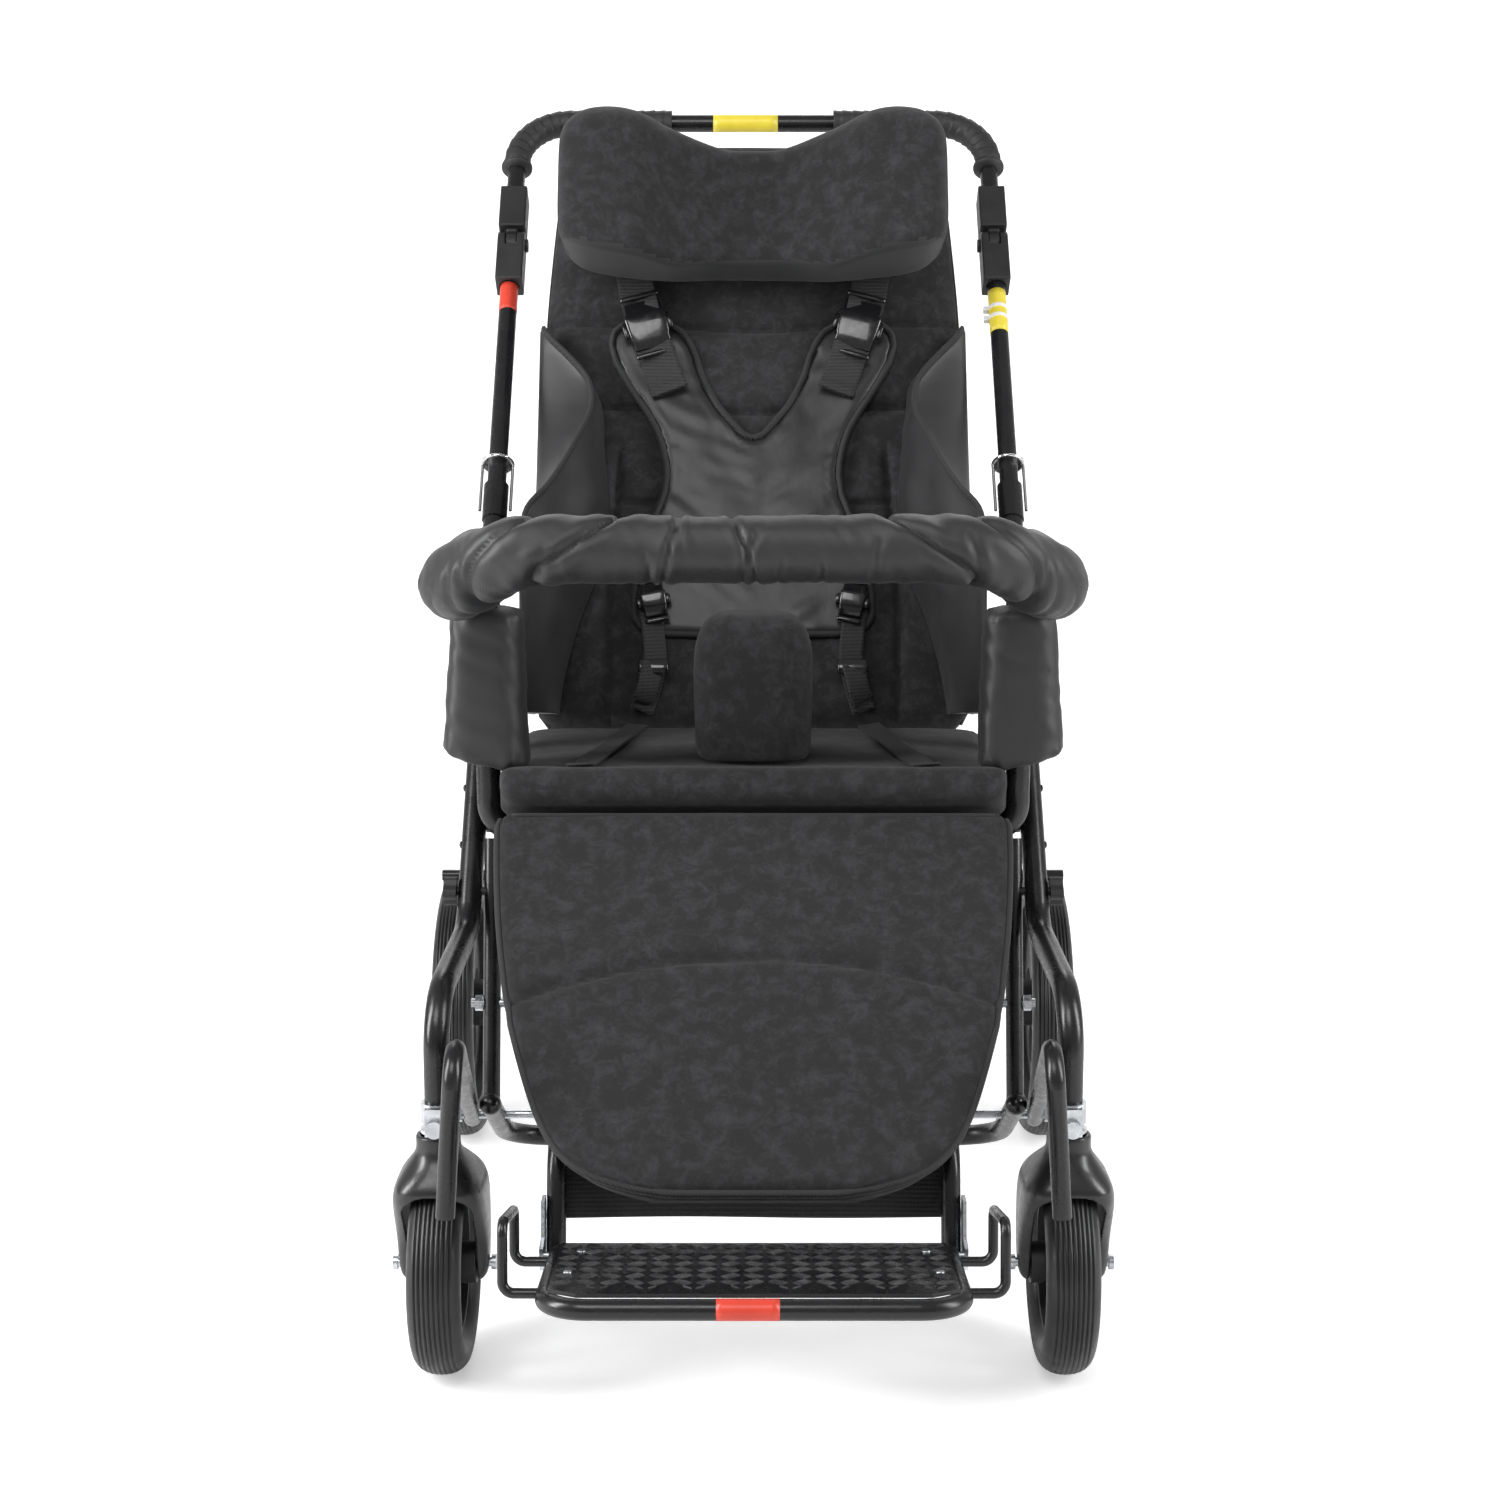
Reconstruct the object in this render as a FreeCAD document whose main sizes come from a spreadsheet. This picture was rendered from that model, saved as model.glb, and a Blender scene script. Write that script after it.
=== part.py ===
import FreeCAD, Part
import math
import os
from FreeCAD import Placement, Rotation, Vector

# Special needs stroller, in millimetres
# X runs to the right as seen from the front, Y to the rear, Z up from the floor.
# The origin is on the floor, under the centre of the whole stroller.

doc = FreeCAD.newDocument("special_needs_stroller")
sheet = doc.addObject("Spreadsheet::Sheet", "Sizes")

SIZES = [
    # Frame tubes
    ("main_tube_od", 22.0),
    ("handle_tube_od", 19.0),
    ("light_tube_od", 16.0),
    ("tube_wall", 1.5),
    ("small_rod_od", 8.0),
    ("nut_od", 15.0),
    ("fit_gap", 0.05),
    ("soft_gap", 0.3),
    # Side tubes: a straight leaning tube with a shin that comes down to the caster
    ("frame_half", 260.0),
    ("frame_lean", 39.7),
    ("frame_base_y", -77.0),
    ("frame_base_z", 374.0),
    ("knee_reach", 24.0),
    ("stem_half", 268.0),
    ("stem_y", -265.0),
    ("shin_z", 336.0),
    ("stem_bottom_z", 226.0),
    ("shin_bend", 52.0),
    ("sleeve_od", 25.0),
    ("sleeve_reach", 42.0),
    ("fold_reach", 471.0),
    ("fold_offset", 19.0),
    ("ear_thickness", 3.0),
    # Handle
    ("adjuster_rise", 319.0),
    ("adjuster_width", 29.0),
    ("adjuster_length", 57.0),
    ("hub_length", 56.0),
    ("adjuster_depth", 30.0),
    ("handle_rise", 179.0),
    ("handle_bend", 58.0),
    ("grip_od", 29.0),
    ("grip_half_gap", 90.0),
    ("grip_collar_od", 34.0),
    ("button_od", 14.0),
    ("button_travel", 3.0),
    # Snap rings
    ("ring_wire", 3.2),
    ("ring_travel", 18.0),
    # Wheels
    ("front_wheel_od", 190.0),
    ("front_tyre_width", 46.0),
    ("front_rim_od", 132.0),
    ("trail", 25.0),
    ("fork_slot", 58.0),
    ("fork_width", 81.0),
    ("neck_od", 38.0),
    ("neck_top_z", 221.0),
    ("rear_wheel_od", 295.0),
    ("rear_tyre_width", 45.0),
    ("rear_rim_od", 232.0),
    ("rear_wheel_half", 322.0),
    ("rear_axle_y", 390.0),
    ("axle_od", 12.0),
    ("front_axle_od", 8.0),
    # Seat frame
    ("rail_half", 205.0),
    ("rail_z", 440.0),
    ("rail_front_y", -90.0),
    ("rail_rear_y", 192.0),
    ("seat_board_thickness", 5.0),
    ("seat_half", 222.0),
    ("seat_roll_half", 227.0),
    ("seat_height", 44.0),
    ("rear_leg_top_y", 150.0),
    ("post_half", 242.0),
    ("post_y", -60.0),
    ("post_top_z", 646.0),
    ("post_bend", 26.0),
    ("pad_width", 73.0),
    ("pad_depth", 60.0),
    ("pad_bottom_z", 507.0),
    # Lower frame
    ("strut_top_y", -55.0),
    ("lower_half", 239.5),
    ("lower_front_y", -123.0),
    ("lower_front_z", 199.5),
    ("lower_rear_y", 24.0),
    ("lower_bar_z", 118.0),
    ("lower_bend", 45.0),
    ("guard_front_y", -361.0),
    ("guard_bottom_z", 182.0),
    ("guard_corner_z", 332.0),
    ("guard_bend", 24.0),
    ("guard_rear_y", -60.0),
    # Knobs
    ("knob_reach", 14.0),
    ("knob_od", 27.0),
    ("knob_length", 12.0),
    # Brakes
    ("brake_y", 300.0),
    ("brake_arm", 60.0),
    ("brake_pedal", 135.0),
    ("brake_plate", 5.0),
    # Bumper
    ("bumper_arm_z", 680.0),
    ("bumper_bar_z", 713.0),
    ("bumper_corner_y", -150.0),
    ("bumper_bar_y", -222.0),
    ("bumper_bar_half", 195.0),
    ("bumper_end_y", 153.0),
    ("bumper_sleeve_od", 57.0),
    ("bumper_sleeve_end_y", 55.0),
    ("spigot_length", 80.0),
    # Pommel
    ("pommel_width", 110.0),
    ("pommel_depth", 92.0),
    ("pommel_height", 134.0),
    ("pommel_y", -12.0),
    ("pommel_stem_od", 22.0),
    # Backrest
    ("back_y", 207.0),
    ("back_z", 457.0),
    ("back_tilt", 25.0),
    ("back_length", 682.0),
    ("back_half", 222.0),
    ("back_thickness", 40.0),
    ("back_board_thickness", 4.0),
    ("back_tube_half", 180.0),
    ("head_half", 201.0),
    ("head_drop", 184.0),
    ("head_height", 186.0),
    ("wing_gap", 0.3),
    ("wing_thickness", 4.0),
    # Legrest and footplate
    ("leg_y", -116.0),
    ("leg_z", 446.0),
    ("leg_tilt", 51.5),
    ("calf_length", 374.0),
    ("calf_half", 228.0),
    ("calf_thickness", 30.0),
    ("leg_tube_half", 160.0),
    ("plate_y", -392.0),
    ("plate_z", 162.0),
    ("plate_tilt", 7.5),
    ("plate_length", 157.0),
    ("plate_bend", 34.0),
    ("tread_thickness", 3.0),
    ("hoop_half", 190.0),
]
for row, (name, value) in enumerate(SIZES, start=1):
    sheet.set(f"A{row}", name)
    sheet.set(f"B{row}", str(value))
    sheet.setAlias(f"B{row}", name)
doc.recompute()

SIDES = (("left", -1), ("right", 1))
nodes = []
print_sizes = []


def size(name):
    """The value of one driving dimension."""
    return float(sheet.get(name))


# Stations up the side tubes' line: each joint is placed from the one below it
ADJUST_REACH = size("fold_reach") + size("adjuster_rise")
HANDLE_REACH = ADJUST_REACH + size("handle_rise")


def leaning(base_y, base_z, tilt):
    """A frame on the centre plane whose Z axis leans to the rear by tilt degrees."""
    return Placement(Vector(0, base_y, base_z), Rotation(Vector(1, 0, 0), -tilt))


SIDE = leaning(size("frame_base_y"), size("frame_base_z"), size("frame_lean"))
BACK = leaning(size("back_y"), size("back_z"), size("back_tilt"))
LEG = leaning(size("leg_y"), size("leg_z"), size("leg_tilt"))
PLATE = Placement(
    Vector(0, size("plate_y"), size("plate_z")), Rotation(Vector(1, 0, 0), -size("plate_tilt"))
)
UPRIGHT = Placement()
ALONG = {
    "x": Rotation(Vector(0, 0, 1), Vector(1, 0, 0)),
    "y": Rotation(Vector(0, 0, 1), Vector(0, 1, 0)),
    "z": Rotation(),
}


def put(obj, frame, at, turn=Rotation()):
    """Place an object by a position and turn given in a frame."""
    obj.Placement = frame.multiply(Placement(Vector(*at), turn))
    return obj


def node(obj, label):
    """Register an object as a sub-part that is written to its own file."""
    obj.Label = label
    nodes.append(obj)
    return obj


def bind(obj, prop, expression):
    """Bind a property to the sheet, or set it when it is a worked-out number."""
    if isinstance(expression, str):
        obj.setExpression(prop, expression)
    else:
        setattr(obj, prop, expression)


def rod(name, diameter, length, at, axis="z", frame=UPRIGHT):
    """A round bar centred on a point, along one axis of a frame."""
    bar = doc.addObject("Part::Cylinder", name)
    bind(bar, "Radius", f"({diameter}) / 2" if isinstance(diameter, str) else diameter / 2)
    bind(bar, "Height", length)
    doc.recompute([bar])
    shift = ALONG[axis].multVec(Vector(0, 0, -bar.Height.Value / 2))
    return put(bar, frame, Vector(*at) + shift, ALONG[axis])


def block(name, sizes, at, frame=UPRIGHT):
    """A rectangular block centred on a point of a frame."""
    box = doc.addObject("Part::Box", name)
    for prop, value in zip(("Length", "Width", "Height"), sizes):
        bind(box, prop, value)
    doc.recompute([box])
    half = Vector(box.Length.Value, box.Width.Value, box.Height.Value) * 0.5
    return put(box, frame, Vector(*at) - half)


def fuse(name, shapes):
    joined = doc.addObject("Part::MultiFuse", name)
    joined.Shapes = shapes
    return joined


def cut(name, base, tool):
    left = doc.addObject("Part::Cut", name)
    left.Base = base
    left.Tool = tool
    return left


def common(name, shapes):
    both = doc.addObject("Part::MultiCommon", name)
    both.Shapes = shapes
    return both


def group(name, shapes):
    """Separate like pieces kept together as one sub-part."""
    whole = doc.addObject("Part::Compound", name)
    whole.Links = shapes
    return whole


def formed(name, shape, frame=UPRIGHT):
    """A shape made directly from sections, placed in a frame."""
    piece = doc.addObject("Part::Feature", name)
    piece.Shape = shape
    piece.Placement = frame
    return piece


def route(points, bends):
    """Straight runs through the points, joined by tangent arcs of the given radii."""
    corners = [Vector(*p) for p in points]
    edges = []
    start = corners[0]
    for before, corner, after, bend in zip(corners, corners[1:], corners[2:], bends):
        back = (before - corner).normalize()
        ahead = (after - corner).normalize()
        turn = math.pi - back.getAngle(ahead)
        reach = bend * math.tan(turn / 2)
        middle = (back + ahead).normalize()
        inner = corner + middle * (bend / math.cos(turn / 2) - bend)
        edges.append(Part.LineSegment(start, corner + back * reach).toShape())
        edges.append(Part.Arc(corner + back * reach, inner, corner + ahead * reach).toShape())
        start = corner + ahead * reach
    edges.append(Part.LineSegment(start, corners[-1]).toShape())
    return Part.Wire(edges)


def swept(name, wire, diameter):
    """A round bar along a wire; its diameter is bound to the sheet."""
    path = formed(name + "_path", wire)
    first = wire.OrderedEdges[0]
    start = first.valueAt(first.FirstParameter)
    ahead = first.tangentAt(first.FirstParameter)
    ring = doc.addObject("Part::Circle", name + "_section")
    bind(ring, "Radius", f"({diameter}) / 2")
    ring.Placement = Placement(start, Rotation(Vector(0, 0, 1), ahead))
    bar = doc.addObject("Part::Sweep", name)
    bar.Sections = [ring]
    bar.Spine = (path, [])
    bar.Solid = True
    return bar


def tube(name, wire, diameter, wall="tube_wall"):
    """The outer and inner bars of a bent tube."""
    outer = swept(name + "_outer", wire, f"Sizes.{diameter}")
    inner = swept(name + "_bore", wire, f"Sizes.{diameter} - 2 * Sizes.{wall}")
    return outer, inner


def turned(outline):
    """A body of revolution about X, from (radius, along) points joined by straight lines."""
    corners = [Vector(a, r, 0) for r, a in outline]
    face = Part.Face(Part.makePolygon(corners + corners[:1]))
    return face.revolve(Vector(0, 0, 0), Vector(1, 0, 0), 360)


def plate(outline, thickness, axis="x"):
    """A flat plate with an outline in the plane square to an axis, centred on that plane."""
    at = {
        "x": lambda p: Vector(-thickness / 2, p[0], p[1]),
        "y": lambda p: Vector(p[0], -thickness / 2, p[1]),
        "z": lambda p: Vector(p[0], p[1], -thickness / 2),
    }[axis]
    corners = [at(p) for p in outline]
    face = Part.Face(Part.makePolygon(corners + corners[:1]))
    push = {"x": Vector(1, 0, 0), "y": Vector(0, 1, 0), "z": Vector(0, 0, 1)}[axis]
    return face.extrude(push * thickness)


def cushion_section(half, thin, thick, z, dip=0.0):
    """A closed section at height z: flat back, drawn-in sides and a crowned front (front is -Y)."""
    side = thin * 0.35
    a = Vector(-half + side, 0, z)
    b = Vector(half - side, 0, z)
    c = Vector(half, -thin / 2, z)
    d = Vector(half - side, -thin, z)
    e = Vector(0, -thick + dip, z)
    f = Vector(-half + side, -thin, z)
    g = Vector(-half, -thin / 2, z)
    return Part.Wire(
        [
            Part.LineSegment(a, b).toShape(),
            Part.Arc(b, c, d).toShape(),
            Part.Arc(d, e, f).toShape(),
            Part.Arc(f, g, a).toShape(),
        ]
    )


def rounded_section(half_x, half_y, z, corner, centre=(0.0, 0.0)):
    """A rounded rectangle at height z."""
    cx, cy = centre
    corner = min(corner, half_x * 0.98, half_y * 0.98)
    edges = []
    signs = ((1, 1), (-1, 1), (-1, -1), (1, -1))
    inner = [Vector(cx + i * (half_x - corner), cy + j * (half_y - corner), z) for i, j in signs]
    for n, (point, (i, j)) in enumerate(zip(inner, signs)):
        first = Vector(i, 0, 0) if i * j > 0 else Vector(0, j, 0)
        last = Vector(0, j, 0) if i * j > 0 else Vector(i, 0, 0)
        middle = (first + last).normalize()
        begin, end = point + first * corner, point + last * corner
        edges.append(Part.Arc(begin, point + middle * corner, end).toShape())
        following = inner[(n + 1) % 4]
        i2, j2 = signs[(n + 1) % 4]
        lead = Vector(i2, 0, 0) if i2 * j2 > 0 else Vector(0, j2, 0)
        edges.append(Part.LineSegment(end, following + lead * corner).toShape())
    return Part.Wire(edges)


def side_point(reach, x, offset=0.0):
    """A point on a side tube's line, offset square to it to the rear."""
    return SIDE.multVec(Vector(x, offset, reach))


def side_line_y(z):
    """Where the side tubes' centre line is at height z."""
    lean = math.radians(size("frame_lean"))
    return size("frame_base_y") + (z - size("frame_base_z")) * math.tan(lean)


MAIN_R = size("main_tube_od") / 2
HANDLE_R = size("handle_tube_od") / 2
LIGHT_R = size("light_tube_od") / 2
GAP = size("soft_gap")

# Side tubes, each with its fold sleeve, hinge ears and the spigot that carries the bumper
KNEE = side_point(-size("knee_reach"), 0)
KNOB_POINT = side_point(size("knob_reach"), 0)
EAR_HALF = HANDLE_R - 1.0
PIN_D = 6.0
for side, sign in SIDES:
    x = sign * size("frame_half")
    stem_x = sign * size("stem_half")
    top = side_point(size("fold_reach"), x)
    line = route(
        [
            (stem_x, size("stem_y"), size("stem_bottom_z")),
            (stem_x, size("stem_y"), size("shin_z")),
            (x, KNEE.y, KNEE.z),
            tuple(top),
        ],
        [size("shin_bend"), size("shin_bend")],
    )
    outer, bore = tube(f"side_tube_{side}_run", line, "main_tube_od")
    sleeve = rod(
        f"sleeve_{side}",
        "Sizes.sleeve_od",
        "Sizes.sleeve_reach",
        (x, 0, size("fold_reach") - size("sleeve_reach") / 2),
        "z",
        SIDE,
    )
    spigot_back = side_line_y(size("bumper_arm_z"))
    spigot_front = size("bumper_end_y") - size("spigot_length")
    spigot = rod(
        f"spigot_{side}",
        "Sizes.handle_tube_od - 2 * Sizes.tube_wall - 2 * Sizes.fit_gap",
        spigot_back - spigot_front,
        (x, (spigot_back + spigot_front) / 2, size("bumper_arm_z")),
        "y",
    )
    ears = []
    for place in (-1, 1):
        ears.append(
            block(
                f"sleeve_ear_{side}_{place}",
                ("Sizes.ear_thickness", "Sizes.fold_offset + 5", 20.0),
                (
                    x + place * (EAR_HALF - size("ear_thickness") / 2),
                    (size("fold_offset") + 5) / 2 + 1,
                    size("fold_reach") - 10,
                ),
                SIDE,
            )
        )
    pin_hole = rod(
        f"fold_hole_{side}",
        PIN_D + 2 * size("fit_gap"),
        size("sleeve_od"),
        (x, size("fold_offset"), size("fold_reach")),
        "x",
        SIDE,
    )
    ear_tips = [
        rod(
            f"sleeve_ear_tip_{side}_{place}",
            12.0,
            "Sizes.ear_thickness",
            (
                x + place * (EAR_HALF - size("ear_thickness") / 2),
                size("fold_offset"),
                size("fold_reach"),
            ),
            "x",
            SIDE,
        )
        for place in (-1, 1)
    ]
    knob_hole = rod(
        f"knob_hole_{side}",
        "Sizes.small_rod_od + 2 * Sizes.fit_gap",
        40.0,
        (x, KNOB_POINT.y, KNOB_POINT.z),
        "x",
    )
    solid = fuse(f"side_tube_{side}_solid", [outer, sleeve, spigot] + ears + ear_tips)
    hollow = fuse(f"side_tube_{side}_hollow", [bore, pin_hole, knob_hole])
    node(cut(f"side_tube_{side}", solid, hollow), f"side_tube_{side}")

# Handle legs: the upper tubes that fold back about a pin behind each joint
LEG_END = ADJUST_REACH - size("adjuster_depth") / 2 - 3
for side, sign in SIDES:
    x = sign * size("frame_half")
    bottom = size("fold_reach") + 1.0
    line = route([tuple(side_point(bottom, x)), tuple(side_point(LEG_END, x))], [])
    outer, bore = tube(f"handle_leg_{side}_run", line, "handle_tube_od")
    tongue = block(
        f"handle_tongue_{side}",
        (2 * (EAR_HALF - size("ear_thickness")) - 0.4, "Sizes.fold_offset", 18.0),
        (x, size("fold_offset") / 2 + 2, bottom + 9.5),
        SIDE,
    )
    tongue_tip = rod(
        f"handle_tongue_tip_{side}",
        12.0,
        2 * (EAR_HALF - size("ear_thickness")) - 0.4,
        (x, size("fold_offset"), size("fold_reach")),
        "x",
        SIDE,
    )
    pin = rod(
        f"fold_pin_{side}",
        PIN_D,
        2 * EAR_HALF + 3,
        (x, size("fold_offset"), size("fold_reach")),
        "x",
        SIDE,
    )
    solid = fuse(f"handle_leg_{side}_solid", [outer, tongue, tongue_tip, pin])
    node(cut(f"handle_leg_{side}", solid, bore), f"handle_leg_{side}")

# Adjusters: plastic housings that clamp the angle of the handlebar, with a push button inside
BUTTON_SEAT = 6.0
HUB_WIDTH = 12.0
for side, sign in SIDES:
    x = sign * size("frame_half")
    low_part = size("adjuster_length")
    body = block(
        f"adjuster_body_{side}",
        ("Sizes.adjuster_width", "Sizes.adjuster_depth", "Sizes.adjuster_length"),
        (x, 0, ADJUST_REACH - low_part / 2),
        SIDE,
    )
    crown = rod(
        f"adjuster_crown_{side}",
        "Sizes.adjuster_depth",
        "Sizes.adjuster_width",
        (x, 0, ADJUST_REACH),
        "x",
        SIDE,
    )
    leg_hole = rod(
        f"adjuster_socket_{side}",
        "Sizes.handle_tube_od + 2 * Sizes.fit_gap",
        120.0,
        (x, 0, LEG_END + 0.5 - 60),
        "z",
        SIDE,
    )
    hub_round = rod(
        f"adjuster_hub_room_{side}",
        "Sizes.adjuster_depth + 3",
        HUB_WIDTH + 0.4,
        (x, 0, ADJUST_REACH),
        "x",
        SIDE,
    )
    hub_open = block(
        f"adjuster_hub_slot_{side}",
        (HUB_WIDTH + 0.4, "Sizes.adjuster_depth + 10", 40.0),
        (x, 0, ADJUST_REACH + 20 - 6),
        SIDE,
    )
    button_seat = rod(
        f"adjuster_button_seat_{side}",
        "Sizes.button_od + 2 * Sizes.fit_gap",
        2 * BUTTON_SEAT,
        (x - sign * size("adjuster_width") / 2, 0, ADJUST_REACH),
        "x",
        SIDE,
    )
    pivot_hole = rod(
        f"adjuster_pivot_hole_{side}",
        8.0 + 2 * size("fit_gap"),
        8.0,
        (x + sign * 8.0, 0, ADJUST_REACH),
        "x",
        SIDE,
    )
    spaces = fuse(
        f"adjuster_spaces_{side}", [leg_hole, hub_round, hub_open, button_seat, pivot_hole]
    )
    solid = fuse(f"adjuster_solid_{side}", [body, crown])
    node(cut(f"adjuster_{side}", solid, spaces), f"adjuster_{side}")
    button_length = size("button_travel") + BUTTON_SEAT - size("button_travel") - 0.4
    button_middle = size("adjuster_width") / 2 + size("button_travel") - button_length / 2
    button = rod(
        f"adjuster_button_{side}",
        "Sizes.button_od",
        button_length,
        (x - sign * button_middle, 0, ADJUST_REACH),
        "x",
        SIDE,
    )
    node(button, f"adjuster_button_{side}")

# Handlebar: a U tube between two hubs that turn in the adjusters
half = size("frame_half")
HUB_LOW = ADJUST_REACH + size("adjuster_depth") / 2 + 2
bar_low = HUB_LOW + 12
bar_line = route(
    [
        tuple(side_point(bar_low, -half)),
        tuple(side_point(HANDLE_REACH, -half)),
        tuple(side_point(HANDLE_REACH, half)),
        tuple(side_point(bar_low, half)),
    ],
    [size("handle_bend")] * 2,
)
outer, bore = tube("handlebar_run", bar_line, "handle_tube_od")
node(cut("handlebar", outer, bore), "handlebar")
hubs = []
for side, sign in SIDES:
    x = sign * half
    disc = rod(
        f"hub_disc_{side}", "Sizes.adjuster_depth - 2", HUB_WIDTH, (x, 0, ADJUST_REACH), "x", SIDE
    )
    pivot = rod(
        f"hub_pivot_{side}",
        8.0,
        7.0,
        (x + sign * 8.0, 0, ADJUST_REACH),
        "x",
        SIDE,
    )
    cover = block(
        f"hub_cover_{side}",
        ("Sizes.adjuster_width", "Sizes.adjuster_depth", "Sizes.hub_length"),
        (x, 0, HUB_LOW + size("hub_length") / 2),
        SIDE,
    )
    neck = block(
        f"hub_neck_{side}",
        (HUB_WIDTH, 15.0, 22.0),
        (x, 0, HUB_LOW - 9),
        SIDE,
    )
    solid = fuse(f"hub_solid_{side}", [disc, pivot, cover, neck])
    socket = rod(
        f"hub_socket_{side}",
        "Sizes.handle_tube_od + 2 * Sizes.fit_gap",
        80.0,
        (x, 0, bar_low - 0.2 + 40),
        "z",
        SIDE,
    )
    hubs.append(cut(f"hub_{side}", solid, socket))
node(group("adjuster_hubs", hubs), "adjuster_hubs")

# Grips: rubber sleeves round the handlebar's corners, each with a flange at its lower end
for side, sign in SIDES:
    low = tuple(side_point(HANDLE_REACH - 71, sign * half))
    corner = tuple(side_point(HANDLE_REACH, sign * half))
    inner_end = tuple(side_point(HANDLE_REACH, sign * size("grip_half_gap")))
    line = route([low, corner, inner_end], [size("handle_bend")])
    outer = swept(f"grip_{side}_outer", line, "Sizes.grip_od")
    bore = swept(f"grip_{side}_bore", line, "Sizes.handle_tube_od + 2 * Sizes.fit_gap")
    flange = rod(
        f"grip_flange_{side}",
        "Sizes.grip_collar_od",
        9.0,
        (sign * half, 0, HANDLE_REACH - 71 + 4.5),
        "z",
        SIDE,
    )
    node(cut(f"grip_{side}", fuse(f"grip_{side}_solid", [outer, flange]), bore), f"grip_{side}")

# Snap rings: chrome wire bails that lock each fold joint
for side, sign in SIDES:
    x = sign * half
    ring = doc.addObject("Part::Torus", f"snap_ring_loop_{side}")
    loop_r = size("sleeve_od") / 2 + size("ring_wire") / 2 + 1.3
    ring.Radius1 = loop_r
    bind(ring, "Radius2", "Sizes.ring_wire / 2")
    put(ring, SIDE, (x, 0, size("fold_reach") + 28))
    ring.Placement = ring.Placement * Placement(Vector(), Rotation(Vector(0, 0, 1), 37))
    wires = [
        rod(
            f"snap_ring_wire_{side}_{place}",
            "Sizes.ring_wire",
            58.0,
            (x + place * loop_r, 0, size("fold_reach") - 1),
            "z",
            SIDE,
        )
        for place in (-1, 1)
    ]
    saddle = rod(
        f"snap_ring_saddle_{side}",
        "Sizes.sleeve_od + Sizes.ring_wire + 2.6",
        2.4,
        (x, 0, size("fold_reach") + 28),
        "z",
        SIDE,
    )
    whole = fuse(f"snap_ring_{side}_solid", [ring, saddle] + wires)
    bore = rod(
        f"snap_ring_bore_{side}",
        "Sizes.handle_tube_od + 2 * Sizes.fit_gap",
        80.0,
        (x, 0, size("fold_reach") + 28),
        "z",
        SIDE,
    )
    node(cut(f"snap_ring_{side}", whole, bore), f"snap_ring_{side}")

# Seat frame: side rails, front, middle and rear cross tubes, and lugs for the hinges
RAIL_Z = size("rail_z")
RAIL_HALF = size("rail_half")
front_y = size("rail_front_y")
rear_y = size("rail_rear_y")
middle_y = side_line_y(RAIL_Z)
LEG_TUBE_X = size("leg_tube_half")


def rail_bars(kind, diameter):
    bars = []
    for side, sign in SIDES:
        bars.append(
            rod(
                f"rail_{kind}_{side}",
                diameter,
                rear_y - front_y,
                (sign * RAIL_HALF, (front_y + rear_y) / 2, RAIL_Z),
                "y",
            )
        )
    ends = (
        ("front", front_y, RAIL_HALF),
        ("middle", middle_y, size("frame_half") - MAIN_R - GAP),
        ("rear", rear_y, RAIL_HALF),
    )
    for name, y, reach in ends:
        bars.append(rod(f"cross_{kind}_{name}", diameter, 2 * reach, (0, y, RAIL_Z), "x"))
    return bars


BACK_TUBE_X = size("back_tube_half")
LUG = 4.0
lugs = []
for side, sign in SIDES:
    lug_x = sign * (BACK_TUBE_X + HANDLE_R + GAP + LUG / 2)
    back_outline = [
        (rear_y - 9, RAIL_Z - 4),
        (rear_y + 9, RAIL_Z - 4),
        (size("back_y") + 11, size("back_z") - 2),
        (size("back_y") + 8, size("back_z") + 9),
        (size("back_y") - 8, size("back_z") + 9),
        (size("back_y") - 11, size("back_z") - 2),
    ]
    lug = formed(f"back_lug_{side}", plate(back_outline, LUG))
    lug.Placement = Placement(Vector(lug_x, 0, 0), Rotation())
    lugs.append(lug)
    leg_lug_x = sign * (LEG_TUBE_X + LIGHT_R + GAP + LUG / 2)
    leg_outline = [
        (front_y + 2, RAIL_Z + 9),
        (front_y + 2, RAIL_Z - 9),
        (size("leg_y") - 2, size("leg_z") - 9),
        (size("leg_y") - 9, size("leg_z") - 2),
        (size("leg_y") - 7, size("leg_z") + 7),
        (size("leg_y") + 4, size("leg_z") + 9),
    ]
    lug = formed(f"leg_lug_{side}", plate(leg_outline, LUG))
    lug.Placement = Placement(Vector(leg_lug_x, 0, 0), Rotation())
    lugs.append(lug)
bores = rail_bars("bore", "Sizes.handle_tube_od - 2 * Sizes.tube_wall")
hinge_holes = []
for side, sign in SIDES:
    hinge_holes.append(
        rod(
            f"back_pin_hole_{side}",
            "Sizes.small_rod_od + 2 * Sizes.fit_gap",
            30.0,
            (sign * (BACK_TUBE_X + HANDLE_R + LUG / 2), size("back_y"), size("back_z")),
            "x",
        )
    )
    hinge_holes.append(
        rod(
            f"leg_pin_hole_{side}",
            "Sizes.small_rod_od + 2 * Sizes.fit_gap",
            30.0,
            (sign * (LEG_TUBE_X + LIGHT_R + LUG / 2), size("leg_y"), size("leg_z")),
            "x",
        )
    )
pommel_socket = rod(
    "pommel_socket", "Sizes.pommel_stem_od + 6", 34.0, (0, size("pommel_y"), RAIL_Z - 8), "z"
)
pommel_bore = rod(
    "pommel_bore", "Sizes.pommel_stem_od + 2 * Sizes.fit_gap", 80.0, (0, size("pommel_y"), RAIL_Z), "z"
)
solid = fuse(
    "seat_frame_solid", rail_bars("tube", "Sizes.handle_tube_od") + lugs + [pommel_socket]
)
node(
    cut("seat_frame", solid, fuse("seat_frame_hollow", bores + hinge_holes + [pommel_bore])), "seat_frame"
)

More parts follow.
